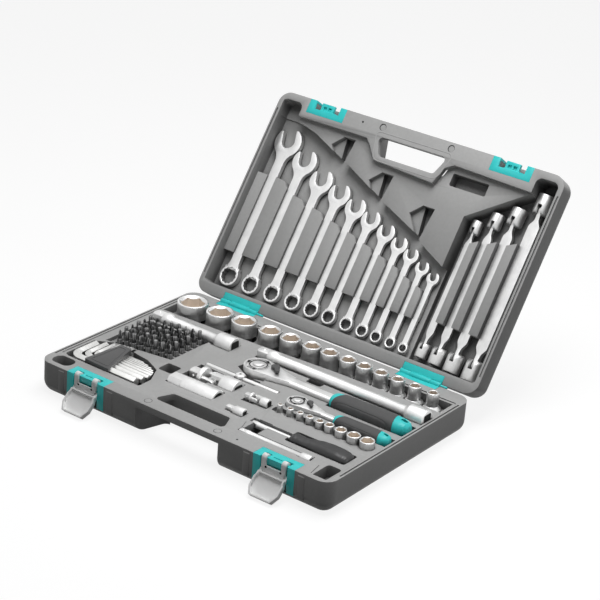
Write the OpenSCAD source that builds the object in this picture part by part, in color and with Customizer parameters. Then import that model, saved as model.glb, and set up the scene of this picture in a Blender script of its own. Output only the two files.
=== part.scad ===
// Socket wrench set in a double-walled carrying case.
// The lower half lies on its underside, the lid stands open on its two hinges.
// Origin: centre of the underside. +X to the right, +Y towards the hinges, +Z up, millimetres.
// Lid pieces are drawn in the lid's own frame: x across, y away from the hinge line and z out
// of the tray, with z = 0 on the rim. in_lid() turns that frame about the hinge line.

/* [Case] */
// Width of the case, across both latches
case_w = 420; // [420:1:450]
// Depth of the case, from the latches to the hinges
case_d = 278; // [278:1:290]
// Height of the lower half
base_h = 41; // [41:0.5:50]
// Height of the lid
lid_h = 37; // [37:0.5:46]
// Radius of the case's corners and of its outer lower edges
case_round = 16; // [12:0.5:18]
// Space between the two rims when the case is shut
rim_gap = 0.4; // [0.2:0.1:1]
// Opening angle of the lid, counted from shut
lid_open_angle = 124.6; // [95:0.1:130]
// Depth of the groove in the side rims
groove_depth = 1.6; // [0.8:0.1:2.4]
// Width of the groove in the side rims
groove_w = 2.2; // [1.4:0.1:2.6]

/* [Carrying handle] */
// Length of the hand opening at the bar
handle_gap_w = 102; // [90:1:108]
// Front-to-back size of the hand opening
handle_gap_d = 24; // [21:0.5:24.5]
// Front-to-back size of the bar
handle_bar_d = 20; // [18:0.5:22]
// Thickness of half the bar
handle_bar_t = 8; // [6:0.5:10]

/* [Latches and hinges] */
// Distance of the fittings' middle from the case's middle
fitting_x = 136.8; // [130:0.1:140]
// Width of a latch frame, a catch frame and a hinge
fitting_w = 56.4; // [52:0.2:58]
// Front-to-back size of a latch frame
frame_d = 17.6; // [16:0.1:18]
// Height of a latch frame down the front wall
frame_h = 31.4; // [28:0.2:33]
// Wall of the latch and catch frames
frame_t = 3; // [2.4:0.1:3.4]
// Distance from a latch's bar to the lever's axis
link_l = 15; // [14:0.1:16]
// Length of a latch's lever
lever_l = 32; // [26:0.5:32.5]
// Width of a latch's lever
lever_w = 39; // [36:0.5:40]
// Angle of a hanging lever from upright
lever_splay = 44; // [43:0.5:50]
// Diameter of the hinge pins and the latch bars
pin_d = 3; // [2.4:0.1:3.2]

/* [Drives] */
// Larger square drive
drive_large = 12.7; // [12.7:0.1:13]
// Smaller square drive
drive_small = 6.35; // [6.3:0.05:6.6]
// Play between a male and a female square
drive_play = 0.3; // [0.2:0.05:0.5]

/* [Half-inch tools] */
// Length of the long half-inch extension bar
ext_half_long_l = 240; // [230:0.5:240]
// Length of the short half-inch extension bar
ext_half_short_l = 125; // [115:0.5:126]
// Diameter of a half-inch extension bar
ext_half_d = 13; // [12:0.1:13.6]
// Diameter of its socket end
ext_half_end_d = 22.5; // [20:0.1:23]
// Length of the half-inch ratchet from the drive's axis
ratchet_half_l = 215; // [210:0.5:215]
// Radius of its head
ratchet_half_head_r = 17.5; // [16:0.1:18]
// Diameter of its grip
ratchet_half_grip_d = 28; // [25:0.2:29]
// Length of the spark-plug socket
plug_l = 68; // [62:0.5:69]
// Diameter of the spark-plug socket
plug_d = 25; // [23:0.2:25.6]
// Diameter of the half-inch universal joint
uni_half_d = 25; // [23:0.2:25.6]

/* [Quarter-inch tools] */
// Length of the long quarter-inch extension bar
ext_quarter_long_l = 98; // [90:0.5:99]
// Length of the short quarter-inch extension bar
ext_quarter_short_l = 25; // [22:0.5:26]
// Diameter of a quarter-inch extension bar
ext_quarter_d = 8; // [7:0.1:8.4]
// Diameter of its socket end
ext_quarter_end_d = 12; // [11.5:0.1:12.4]
// Length of the quarter-inch ratchet from the drive's axis
ratchet_quarter_l = 128; // [124:0.5:129]
// Radius of its head
ratchet_quarter_head_r = 12.5; // [11.5:0.1:12.8]
// Diameter of its grip
ratchet_quarter_grip_d = 20; // [18:0.2:20.6]
// Diameter of the spinner's grip
spinner_grip_d = 25; // [22:0.2:25.6]
// Length of the spinner's grip
spinner_grip_l = 80; // [70:0.5:81]
// Length of the sliding T-bar
t_bar_l = 106; // [96:0.5:107]
// Diameter of the sliding T-bar
t_bar_d = 6; // [5:0.1:6.4]

/* [Seats] */
// Play between a tool and the moulded seat it lies in
seat_gap = 0.4; // [0.3:0.05:0.6]
// Running clearance of a pin or shaft in its hole
run_gap = 0.05; // [0.03:0.01:0.1]
// Clearance between two pieces that move past each other
move_gap = 0.4; // [0.3:0.05:0.5]
// Depth of the lid's raised panel below its rim
panel_depth = 8; // [7.8:0.1:9]
// Depth of the wrenches' middle plane below the lid's rim
wrench_depth = 19; // [18.8:0.1:20]
// Depth of the flex-head wrenches' middle plane below the lid's rim
flex_depth = 23; // [22.6:0.1:23.6]
// Height of the half-inch sockets above the lower rim
socket_rise = 12; // [6:0.1:12]
// Height of the quarter-inch sockets above the lower rim
small_socket_rise = 7.4; // [4:0.1:7.6]
// Height of the bits above the lower rim
bit_rise = 11.5; // [8:0.1:12]

/* [Hidden] */
$fn = 40;
eps = 0.01;
over = 2;

// Hexagon sizes of the half-inch sockets and the clear space after each one
half_sizes = [27, 24, 22, 20, 18, 16, 15, 14, 13, 12, 11, 10, 9];
half_spaces = [5.3, 3.8, 8.4, 2.2, 5.8, 2.8, 4.8, 1.2, 2, 2, 2, 3, 0];
// Hexagon sizes of the quarter-inch sockets and the clear space after each one
quarter_sizes = [4, 5, 5.5, 6, 7, 8, 10, 12, 13];
quarter_spaces = [2.4, 1.8, 1.6, 2, 1, 3, 2.6, 1.6, 0];
// Combination wrenches, from the left: size, distance of the two ends, clear space to the next
wrenches = [[19, 186, 9.8], [17, 170, 11.3], [16, 154, 10.6], [15, 146, 9], [14, 137, 7.8],
            [13, 130, 9.1], [12, 122, 7.4], [11, 114, 5.7], [10, 107, 7.1], [9, 98, 6.4], [8, 91, 0]];
// Flex-head wrenches, from the left: top size, bottom size, distance of the pins, distance
// from the case's right side
flexes = [[8, 9, 151, 97.5], [10, 11, 165, 76], [12, 13, 177, 52.5], [14, 15, 200, 26]];
// Hexagon keys, largest first
key_sizes = [10, 8, 6, 5, 4, 3, 2.5, 2, 1.5];

// Colours
tray_grey = [0.62, 0.62, 0.62];
teal = [0.10, 0.78, 0.76];
latch_grey = [0.75, 0.75, 0.75];
chrome = [0.86, 0.86, 0.86];
satin = [0.62, 0.62, 0.62];
grip_grey = [0.28, 0.28, 0.28];
bit_grey = [0.25, 0.25, 0.25];
near_black = [0.13, 0.13, 0.13];

// Main places
rim_z = base_h;
front_y = -case_d / 2;
back_y = case_d / 2;
hinge_back = 2;
hinge_y = back_y + hinge_back;
hinge_z = base_h + rim_gap / 2;
lid_rim = -rim_gap / 2;
lid_far = hinge_back + case_d;

function total(list, n) = n <= 0 ? 0 : list[n - 1] + total(list, n - 1);

// ---------- shared shapes ----------

// Rounded rectangle with true arcs, centred
module soft_rect(w, d, r) {
    square([w - 2 * r, d], center = true);
    square([w, d - 2 * r], center = true);
    for (x = [-1, 1], y = [-1, 1]) translate([x * (w / 2 - r), y * (d / 2 - r)]) circle(r);
}

// Rectangle between two corners
module span_rect(x1, y1, x2, y2, r = 0) {
    translate([(x1 + x2) / 2, (y1 + y2) / 2])
        if (r > 0) soft_rect(abs(x2 - x1), abs(y2 - y1), r);
        else square([abs(x2 - x1), abs(y2 - y1)], center = true);
}

// Polygon with rounded corners
module soft_polygon(points, r) {
    offset(r, $fn = 24) offset(delta = -r) polygon(points);
}

// A cut from a floor up through the rim, with z = 0 on the rim or at the tool
module well(floor_z) {
    translate([0, 0, floor_z]) linear_extrude(base_h + lid_h) children();
}

// Round body along +X, from pairs of position and radius
module turned(steps) {
    rotate([0, 90, 0]) rotate_extrude()
        polygon(concat([[0, steps[0][0]]], [for (s = steps) [s[1], s[0]]],
                       [[0, steps[len(steps) - 1][0]]]));
}

// Hexagon prism, size across flats, along +Z
module hexagon(af, h) {
    cylinder(h = h, d = af / cos(30), $fn = 6);
}

// Twelve-point hole, size across flats, along +Z
module twelve_point(af, h) {
    for (a = [0, 30]) rotate(a) hexagon(af, h);
}

// Outer block of one case half: mouth up, all lower edges and corners rounded
module case_block(h) {
    r = case_round;
    w = case_w;
    d = case_d;
    translate([-w / 2 + r, -d / 2 + r, 0]) cube([w - 2 * r, d - 2 * r, h]);
    translate([-w / 2, -d / 2 + r, r]) cube([w, d - 2 * r, h - r]);
    translate([-w / 2 + r, -d / 2, r]) cube([w - 2 * r, d, h - r]);
    for (x = [-1, 1]) {
        translate([x * (w / 2 - r), -d / 2 + r, r]) rotate([-90, 0, 0])
            cylinder(h = d - 2 * r, r = r);
        for (y = [-1, 1]) translate([x * (w / 2 - r), y * (d / 2 - r), r]) {
            cylinder(h = h - r, r = r);
            sphere(r);
        }
    }
    for (y = [-1, 1]) translate([-w / 2 + r, y * (d / 2 - r), r]) rotate([0, 90, 0])
        cylinder(h = w - 2 * r, r = r);
}

// Puts the lid's own frame in its place at the hinge line
module in_lid() {
    translate([0, hinge_y, hinge_z]) rotate([180 - lid_open_angle, 0, 0]) children();
}

// ---------- carrying handle ----------

handle_near = handle_bar_d;
handle_far = handle_bar_d + handle_gap_d;
handle_taper = 10;

// Hand opening in plan, with y counted from the latch side inwards
module hand_opening() {
    w = handle_gap_w / 2;
    soft_polygon([[-w, handle_near], [w, handle_near],
                  [w - handle_taper, handle_far], [-w + handle_taper, handle_far]], 5);
}

// Room for the fingers under the bar, in plan
module finger_room(grow = 9) {
    w = handle_gap_w / 2 + grow;
    soft_polygon([[-w, -over * 4], [w, -over * 4], [w, handle_near * 0.4],
                  [w - handle_taper, handle_far], [-w + handle_taper, handle_far],
                  [-w, handle_near * 0.4]], 7);
}

// Both cuts of the handle, for a half of height h with its latch side at y = 0
module handle_cuts(h) {
    translate([0, 0, -over]) linear_extrude(h - handle_bar_t + over) finger_room();
    translate([0, 0, -over]) linear_extrude(h + 2 * over) hand_opening();
    // The far wall's lower edge is rounded like the case's own
    r = case_round;
    w = handle_gap_w / 2 + 4;
    difference() {
        translate([-w, handle_far - eps, -eps]) cube([2 * w, r, r]);
        translate([-w - 1, handle_far + r, r]) rotate([0, 90, 0]) cylinder(h = 2 * w + 2, r = r);
    }
}

// ---------- hinges ----------

hinge_barrel_d = 7;
hinge_leaf_t = 2.6;
hinge_leaf_d = 8;
hinge_middle_w = fitting_w / 2;
room_gap = 0.15;
outer_places = [[-fitting_w / 2, -(hinge_middle_w + move_gap) / 2],
                [(hinge_middle_w + move_gap) / 2, fitting_w / 2]];
inner_places = [[-(hinge_middle_w - move_gap) / 2, (hinge_middle_w - move_gap) / 2]];

// Round bar along +X from x1 to x2
module bar_x(x1, x2, d) {
    translate([x1, 0, 0]) rotate([0, 90, 0]) cylinder(h = x2 - x1, d = d);
}

// One hinge leaf in the frame of the hinge line: it lies below the rim and goes towards +y,
// with its barrel pieces between the places listed in pairs; the pin is fixed in a solid one
module hinge_leaf(places, bored = true) {
    difference() {
        union() {
            translate([-fitting_w / 2, hinge_barrel_d / 2 + move_gap, lid_rim - hinge_leaf_t])
                cube([fitting_w, hinge_leaf_d, hinge_leaf_t]);
            for (p = places) {
                bar_x(p[0], p[1], hinge_barrel_d);
                translate([p[0], 0, lid_rim - hinge_leaf_t])
                    cube([p[1] - p[0], hinge_barrel_d / 2 + move_gap + eps, hinge_leaf_t]);
            }
        }
        if (bored) bar_x(-fitting_w, fitting_w, pin_d + 2 * run_gap);
    }
}

// Room for a hinge at the edge of either half, in the frame of the hinge line
module hinge_room() {
    w = fitting_w + 2 * move_gap;
    bar_x(-w / 2, w / 2, hinge_barrel_d + 2 * move_gap);
    translate([-w / 2, -over, lid_rim - hinge_leaf_t - room_gap])
        cube([w, hinge_barrel_d / 2 + move_gap + hinge_leaf_d + over + room_gap, hinge_leaf_t + over]);
}

// ---------- latches ----------

post_w = 9.6;
notch_w = fitting_w - 2 * post_w;
bar_back = 4;
bar_drop = 1.6;
hook_r = 4.4;
block_w = 20;
arm_w = 6;
link_t = 2.4;
lever_t = 1.8;
lever_rise = 6;
lever_out = -1;
lever_axis_out = 1;
foot_h = 3.6;
knuckle_r = 2.8;
lever_pin_d = 3;
link_foot_w = 28;
lever_ear_w = 3.8;
catch_h = 25;
catch_d = 18.4;
notch_back = 11;

// Frame around a notch in the wall, with the wall at y = 0 and the rim at z = 0: two posts
// down the wall, arms and a strip along the rim, and the notch's back wall
module fitting_frame(depth, height) {
    for (side = [-1, 1]) translate([side * (fitting_w - post_w) / 2 - post_w / 2, 0, 0]) {
        translate([0, 0, -height]) cube([post_w, frame_t, height]);
        translate([0, 0, -frame_t]) cube([post_w, depth, frame_t]);
    }
    translate([-fitting_w / 2, notch_back, -frame_t]) cube([fitting_w, depth - notch_back, frame_t]);
    translate([-notch_w / 2, notch_back, -height * 0.62]) cube([notch_w, frame_t, height * 0.62]);
}

// Room for such a frame in the case's wall and rim
module fitting_room(depth, height) {
    g = room_gap;
    for (side = [-1, 1]) translate([side * (fitting_w - post_w) / 2 - post_w / 2 - g, -over, -height - g])
        cube([post_w + 2 * g, frame_t + g + over, height + g + over]);
    translate([-fitting_w / 2 - g, -over, -frame_t - g])
        cube([fitting_w + 2 * g, depth + g + over, frame_t + over]);
    translate([-notch_w / 2 - g, -over, -height * 0.62 - g])
        cube([notch_w + 2 * g, notch_back + frame_t + g + over, height * 0.62 + over]);
    translate([-notch_w / 2, -over, -height]) cube([notch_w, frame_t + over, height]);
}

// Fittings of the lower half: the latch frames, whose slotted block carries the bar on which
// the link swings, and the hinge leaves with their pins, which stick out at one end
module base_fittings() {
    color(teal) for (side = [-1, 1]) translate([side * fitting_x, hinge_y, hinge_z]) {
        mirror([0, 1, 0]) hinge_leaf(outer_places, false);
        bar_x(-fitting_w / 2 - 1, fitting_w / 2 + 9, pin_d);
    }
    color(teal) for (side = [-1, 1]) translate([side * fitting_x, front_y, rim_z]) {
        difference() {
            union() {
                fitting_frame(frame_d, frame_h);
                translate([-block_w / 2, bar_back - 2.6, -7])
                    cube([block_w, notch_back - bar_back + 2.6 + eps, 7]);
            }
            translate([-6, bar_back + 2.4, -over]) cube([12, 1.6, over + 1]);
        }
        translate([0, bar_back, -bar_drop]) bar_x(-notch_w / 2 - eps, notch_w / 2 + eps, pin_d);
    }
}

// Fittings of the lid: the other hinge leaves, and the catch frames with a nose with two
// pockets in the notch and a gusset on either side of it
module lid_fittings() {
    nose_w = block_w - 1;
    color(teal) in_lid() for (side = [-1, 1]) translate([side * fitting_x, 0, 0])
        hinge_leaf(inner_places);
    color(teal) in_lid() for (side = [-1, 1])
        translate([side * fitting_x, lid_far, lid_rim]) rotate(180) {
            fitting_frame(catch_d, catch_h);
            difference() {
                translate([-nose_w / 2, bar_back - 3, -4.6]) cube([nose_w, notch_back - bar_back + 3 + eps, 4]);
                for (x = [-3.8, 3.8]) translate([x - 2.5, bar_back + 1, -over - 1.6])
                    cube([5, 4.4, over * 2]);
            }
            for (m = [0, 1]) mirror([m, 0, 0]) translate([0, notch_back + eps, 0])
                rotate([90, 0, 0]) linear_extrude(1.4)
                    polygon([[nose_w / 2 - eps, -0.6], [notch_w / 2, -11], [nose_w / 2 - eps, -11]]);
        }
}

// Puts a latch piece on its bar, +x across, -y out of the wall, z up
module at_latch(side) {
    translate([side * fitting_x, front_y + bar_back, rim_z - bar_drop]) children();
}

// Link of a latch: two hooked arms on the frame's bar, a plate with two holes and the
// knuckles for the lever
module latch_link(side) {
    plate_top = -hook_r - 3.2;
    color(latch_grey) at_latch(side) difference() {
        union() {
            for (m = [0, 1]) mirror([m, 0, 0]) translate([block_w / 2 + move_gap, 0, 0]) {
                bar_x(0, arm_w, 2 * hook_r);
                translate([0, -hook_r, -link_l + foot_h]) cube([arm_w, link_t, link_l - foot_h]);
            }
            translate([-block_w / 2 - move_gap - arm_w, -hook_r, -link_l + foot_h])
                cube([block_w + 2 * move_gap + 2 * arm_w, link_t, link_l - foot_h + plate_top]);
            translate([-link_foot_w / 2, -hook_r, -link_l]) cube([link_foot_w, link_t, foot_h + eps]);
            translate([0, -lever_axis_out, -link_l]) bar_x(-link_foot_w / 2, link_foot_w / 2, 2 * knuckle_r);
        }
        bar_x(-fitting_w, fitting_w, pin_d + 2 * run_gap);
        translate([0, -lever_axis_out, -link_l]) bar_x(-fitting_w, fitting_w, lever_pin_d + 2 * run_gap);
        for (x = [-10, 10]) translate([x, 0, -link_l + 6]) rotate([90, 0, 0])
            cylinder(h = 2 * hook_r, d = 2.6);
    }
}

// Sheet of a lever in its own plane, axis at the top
module lever_outline(shrink = 0) {
    w = lever_w / 2 - shrink;
    t = -knuckle_r - 0.6 - shrink;
    soft_polygon([[-w + 1.4, t], [w - 1.4, t], [w - 1.4, -8], [w, -11], [w, -lever_l * 0.7],
                  [w - 5, -lever_l + shrink], [-w + 5, -lever_l + shrink], [-w, -lever_l * 0.7],
                  [-w, -11], [-w + 1.4, -8]], 1.2);
}

// Lever of a latch: a dished sheet with raised rims, two ears and the pins of the knuckles
module latch_lever(side) {
    ear_x = link_foot_w / 2 + move_gap;
    color(latch_grey) at_latch(side) translate([0, -lever_axis_out, -link_l])
        rotate([-lever_splay, 0, 0]) {
            translate([0, -lever_out, 0]) rotate([90, 0, 0]) {
                linear_extrude(lever_t) lever_outline();
                linear_extrude(lever_rise) difference() {
                    lever_outline();
                    lever_outline(lever_t);
                }
            }
            for (m = [0, 1]) mirror([m, 0, 0]) {
                bar_x(ear_x, ear_x + lever_ear_w, 2 * knuckle_r);
                translate([ear_x, -knuckle_r, -knuckle_r - 2])
                    cube([lever_ear_w, knuckle_r - lever_out, knuckle_r + 2]);
                bar_x(ear_x - 4, ear_x + eps, lever_pin_d);
            }
        }
}

module latch_link_left() { latch_link(-1); }
module latch_link_right() { latch_link(1); }
module latch_lever_left() { latch_lever(-1); }
module latch_lever_right() { latch_lever(1); }

// ---------- combination wrenches ----------

function wrench_head_r(s) = 1.03 * s;
function wrench_ring_r(s) = 0.66 * s + 0.7;
function wrench_bar_w(s) = 0.52 * s + 2;
function wrench_bar_t(s) = 0.2 * s + 2;
function wrench_ring_t(s) = 0.4 * s + 2;
function wrench_head_t(s) = 0.28 * s + 2;
wrench_foot = 21;
wrench_first_x = 28.5 - case_w / 2;
jaw_turn = 14;

function wrench_x(i) = i == 0 ? wrench_first_x
    : wrench_x(i - 1) + wrench_ring_r(wrenches[i - 1][0]) + wrench_ring_r(wrenches[i][0]) + wrenches[i - 1][2];

// Outline of an open-ended head, jaws towards +y
module jaw_outline(s) {
    r = wrench_head_r(s);
    difference() {
        intersection() {
            circle(r);
            rotate(jaw_turn) translate([-2 * r, -2 * r]) square([4 * r, 2 * r + 0.86 * s]);
        }
        rotate(jaw_turn) {
            translate([-s / 2, 0]) square([s, 2 * r]);
            circle(d = s / cos(30), $fn = 6);
        }
    }
}

// Combination wrench of size s, ring at the origin, open end towards +y, middle plane z = 0
module wrench(s, span) {
    r = wrench_ring_r(s);
    difference() {
        union() {
            translate([0, 0, -wrench_ring_t(s) / 2]) cylinder(h = wrench_ring_t(s), r = r);
            rotate([-90, 0, 0]) linear_extrude(span - s * 0.6)
                soft_rect(wrench_bar_w(s), wrench_bar_t(s), wrench_bar_t(s) * 0.35);
            translate([0, 0, -wrench_bar_t(s) / 2]) linear_extrude(wrench_bar_t(s)) {
                polygon([[-r * 0.8, r * 0.5], [r * 0.8, r * 0.5],
                         [wrench_bar_w(s) / 2, r * 2.2], [-wrench_bar_w(s) / 2, r * 2.2]]);
                translate([0, span]) polygon([[-s * 0.8, -s * 0.5], [s * 0.8, -s * 0.5],
                    [wrench_bar_w(s) / 2, -s * 1.7], [-wrench_bar_w(s) / 2, -s * 1.7]]);
            }
            translate([0, span, -wrench_head_t(s) / 2]) linear_extrude(wrench_head_t(s)) jaw_outline(s);
        }
        translate([0, 0, -wrench_ring_t(s)]) twelve_point(s, 2 * wrench_ring_t(s));
        translate([0, span, -wrench_head_t(s)]) linear_extrude(2 * wrench_head_t(s)) rotate(jaw_turn) {
            translate([-s / 2, 0]) square([s, 2 * s]);
            circle(d = s / cos(30), $fn = 6);
        }
    }
}

module lid_wrench(i) {
    s = wrenches[i][0];
    color(chrome) in_lid() translate([wrench_x(i), wrench_foot + wrench_ring_r(s), lid_rim - wrench_depth])
        wrench(s, wrenches[i][1]);
}

// ---------- flex-head wrenches ----------

function flex_d(s) = 1.2 * s + 2;
function flex_reach(s) = 0.9 * s + 5.5;
function flex_tongue_t(s) = 0.34 * s;
function flex_tongue_r(s) = 0.3 * s + 1;
function flex_start(s) = flex_d(s) / 2 + 2.5;
flex_foot = 38;
flex_pin_d = 2.6;

function flex_bar_w(f) = (f[0] + f[1]) * 0.36 + 2.4;
function flex_bar_t(f) = (f[0] + f[1]) * 0.12 + 2.6;

// Bar of a flex-head wrench: lower pin at the origin, upper pin at [0, span, 0]
module flex_bar(f) {
    span = f[2];
    difference() {
        union() {
            translate([0, flex_start(f[1]) + 6, 0]) rotate([-90, 0, 0])
                linear_extrude(span - flex_start(f[0]) - flex_start(f[1]) - 12)
                    soft_rect(flex_bar_w(f), flex_bar_t(f), flex_bar_t(f) * 0.35);
            flex_tongue(f[1], f);
            translate([0, span, 0]) rotate(180) flex_tongue(f[0], f);
        }
        for (y = [0, span]) translate([0, y, 0])
            bar_x(-flex_bar_w(f), flex_bar_w(f), flex_pin_d + 2 * run_gap);
    }
}

// Rounded tongue with its neck, which widens into the flat bar towards +y
module flex_tongue(s, f) {
    t = flex_tongue_t(s);
    r = flex_tongue_r(s);
    w = flex_bar_w(f);
    bar_x(-t / 2, t / 2, 2 * r);
    translate([-t / 2, 0, -r * 0.8]) cube([t, flex_start(s) + 3, r * 1.6]);
    translate([0, 0, -flex_bar_t(f) / 2]) linear_extrude(flex_bar_t(f))
        polygon([[-t / 2, flex_start(s)], [t / 2, flex_start(s)], [w / 2 - 0.6, flex_start(s) + 9],
                 [w / 2 - 0.6, flex_start(s) + 11], [-w / 2 + 0.6, flex_start(s) + 11],
                 [-w / 2 + 0.6, flex_start(s) + 9]]);
}

// Socket head with its fork around the pin at the origin and its mouth towards -y
module flex_head(s) {
    r = flex_d(s) / 2;
    tail = flex_tongue_r(s) + 1;
    slot = flex_tongue_r(s) + move_gap;
    difference() {
        intersection() {
            rotate([90, 0, 0]) translate([0, 0, -tail]) rotate_extrude()
                polygon([[0, 0], [r - 1.6, 0], [r, 1.6], [r, tail + flex_reach(s) - 0.8],
                         [r - 0.8, tail + flex_reach(s)], [0, tail + flex_reach(s)]]);
            union() {
                bar_x(-2 * r, 2 * r, 2 * (tail + 0.6));
                translate([-2 * r, -3 * r - flex_reach(s), -2 * r]) cube([4 * r, 3 * r + flex_reach(s), 4 * r]);
            }
        }
        translate([-flex_tongue_t(s) / 2 - move_gap / 2, -slot, -2 * r])
            cube([flex_tongue_t(s) + move_gap, slot + 2 * tail, 4 * r]);
        translate([0, -slot - 1.2, 0]) rotate([90, 0, 0]) hexagon(s, flex_reach(s));
    }
    pin_half = sqrt(r * r - pow(flex_pin_d / 2, 2)) - 0.3;
    bar_x(-pin_half, pin_half, flex_pin_d);
}

function flex_x(f) = case_w / 2 - f[3];

module at_flex(f) {
    in_lid() translate([flex_x(f), flex_foot, lid_rim - flex_depth]) children();
}

module lid_flex_bar(i) {
    color(chrome) at_flex(flexes[i]) flex_bar(flexes[i]);
}

// Heads 0 and 1 belong to the first wrench, 2 and 3 to the second, and so on
module lid_flex_head(n) {
    f = flexes[floor(n / 2)];
    color(chrome) at_flex(f) {
        if (n % 2 == 0) translate([0, f[2], 0]) mirror([0, 1, 0]) flex_head(f[0]);
        else flex_head(f[1]);
    }
}

// ---------- the lid's tray ----------

rib_top = -13;
rib_low = 64;
rib_play = 1;
flex_rib_low = 70;
flex_rib_high = 172;
deep_floor = -wrench_depth - wrench_ring_t(wrenches[0][0]) / 2 - seat_gap;
flex_floor = -flex_depth - flex_d(flexes[3][1]) / 2 - seat_gap;
wall_in = 6.5;
flex_left = case_w / 2 - 111;

function rib_high(i) = wrench_foot + wrench_ring_r(wrenches[i][0]) + wrenches[i][1]
    - wrench_head_r(wrenches[i][0]) * 1.6 - 4;

// Inner edge of the lid's rim in plan, which steps around the handle
module lid_basin() {
    w = case_w / 2 - wall_in;
    soft_polygon([[-w, 16.5], [w, 16.5], [w, lid_far - 30], [64, lid_far - 26], [52, lid_far - 33],
                  [45, lid_far - 55], [-45, lid_far - 50], [-56, lid_far - 36], [-66, lid_far - 26],
                  [31.5 - w, lid_far - 26], [19.5 - w, lid_far - 10], [-w, lid_far - 10]], 4);
}

// Part of the basin that is lower than the raised panel: wrenches and flex-head wrenches
module tool_basin() {
    w = case_w / 2 - wall_in;
    left = [[265.5, 151], [252.5, 161], [194.5, 184], [178.5, 191], [124.5, 215], [105.5, 222],
            [60.5, 241], [39.5, 246], [19.5, 250], [0, 250]];
    polygon(concat([[-w, 16.5], [w, 16.5], [w, lid_far - 30], [w - 35, lid_far - 30],
                    [flex_left, 200], [flex_left, 134]], [for (p = left) [p[0] - w, p[1]]]));
}

// Ribs between the wrenches' bars, each with a slanting upper end
module wrench_ribs() {
    for (i = [0:len(wrenches) - 2]) {
        x1 = wrench_x(i) + wrench_bar_w(wrenches[i][0]) / 2 + rib_play;
        x2 = wrench_x(i + 1) - wrench_bar_w(wrenches[i + 1][0]) / 2 - rib_play;
        top = rib_high(i + 1);
        polygon([[x1, rib_low], [x2, rib_low], [x2, top - 8], [x2 - (x2 - x1) * 0.35, top],
                 [x1, top + 2]]);
    }
}

module flex_ribs() {
    for (i = [0:len(flexes) - 2]) {
        x1 = flex_x(flexes[i]) + flex_bar_w(flexes[i]) / 2 + rib_play;
        x2 = flex_x(flexes[i + 1]) - flex_bar_w(flexes[i + 1]) / 2 - rib_play;
        polygon([[x1, flex_rib_low], [x2, flex_rib_low], [x2, flex_rib_high + i * 6 + 6],
                 [x1, flex_rib_high + i * 6]]);
    }
}

// Beds under the wrenches' bars, in plan
module wrench_bed(i) {
    w = wrench_bar_w(wrenches[i][0]) + 2 * rib_play;
    top = rib_high(min(i + 1, len(wrenches) - 1)) - 8;
    span_rect(wrench_x(i) - w / 2, rib_low, wrench_x(i) + w / 2, top);
}

module flex_bed(i) {
    w = flex_bar_w(flexes[i]) + 2 * rib_play;
    x = flex_x(flexes[i]);
    span_rect(x - w / 2, flex_rib_low, x + w / 2, flex_rib_high);
}

// Wedge-shaped finger pocket behind a wrench's open end
module finger_slot(x, top, low) {
    well(deep_floor) polygon([[x, top], [x + 17, top], [x + 13, low], [x + 7, low]]);
    well(-panel_depth - 7) polygon([[x - 14, top - 14], [x + eps, top], [x + 8, low]]);
}

module lid_case() {
    flex_w = case_w / 2 - wall_in;
    color(tray_grey) in_lid() difference() {
        translate([0, hinge_back + case_d / 2, lid_rim - lid_h]) case_block(lid_h);
        translate([0, lid_far, lid_rim]) mirror([0, 1, 0]) translate([0, 0, -lid_h]) handle_cuts(lid_h);
        for (side = [-1, 1]) {
            translate([side * fitting_x, 0, 0]) hinge_room();
            translate([side * fitting_x, lid_far, lid_rim]) rotate(180) fitting_room(catch_d, catch_h);
        }
        translate([0, 0, lid_rim]) {
            rim_groove(hinge_back, lid_far);
            well(-panel_depth) lid_basin();
            well(rib_top) intersection() {
                lid_basin();
                tool_basin();
            }
            // Floor around the wrenches, with their ribs and beds left standing
            well(deep_floor) difference() {
                intersection() {
                    lid_basin();
                    tool_basin();
                    span_rect(-case_w, 0, flex_left + eps, case_d);
                }
                wrench_ribs();
                for (i = [0:len(wrenches) - 1]) wrench_bed(i);
                span_rect(-case_w / 2, rib_low, wrench_x(0) - wrench_bar_w(wrenches[0][0]) / 2 - rib_play, 172);
            }
            for (i = [0:len(wrenches) - 1])
                well(-wrench_depth - wrench_bar_t(wrenches[i][0]) / 2 - seat_gap) wrench_bed(i);
            // Floor around the flex-head wrenches
            well(flex_floor) difference() {
                intersection() {
                    lid_basin();
                    tool_basin();
                    span_rect(flex_left, 0, case_w, case_d);
                }
                flex_ribs();
                for (i = [0:len(flexes) - 1]) flex_bed(i);
            }
            for (i = [0:len(flexes) - 1])
                well(-flex_depth - flex_bar_t(flexes[i]) / 2 - seat_gap) flex_bed(i);
            // Room for the upper head of the longest one, up into the corner
            well(flex_floor) span_rect(flex_w - 30.5, 240, flex_w, lid_far - 9, 8);
            well(-lid_h * 0.6) span_rect(-flex_w, 244, 30.5 - flex_w, lid_far - 9, 8);
            finger_slot(102.5 - flex_w, lid_far - 32, 202);
            finger_slot(173.5 - flex_w, lid_far - 60, 173);
            finger_slot(245.5 - flex_w, 197, 155);
            well(deep_floor) span_rect(63, 230, 114, 246, 2);
            // Dent over the universal joint that stands higher than the raised panel
            translate([uni_half_at[0] + 20, hinge_y - uni_half_at[1], -uni_half_at[2]])
                bar_x(0, 24, uni_half_d + 2);
        }
    }
}

// Groove in the two side rims, for a half that reaches from y1 to y2
module rim_groove(y1, y2) {
    for (side = [-1, 1]) translate([side * (case_w / 2 - wall_in * 0.45) - groove_w / 2, y1 + 24, -groove_depth])
        cube([groove_w, y2 - y1 - 48, groove_depth + over]);
}

// ---------- square drives and extension bars ----------

// Male square along +X with softened edges and a detent ball
module square_tang(size, l) {
    intersection() {
        translate([0, -size / 2, -size / 2]) cube([l, size, size]);
        turned([[0, size * 0.56], [size * 0.1, size * 0.65], [l + eps, size * 0.65]]);
    }
    translate([l * 0.45, 0, size / 2 - size * 0.06]) sphere(size * 0.16);
}

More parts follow.
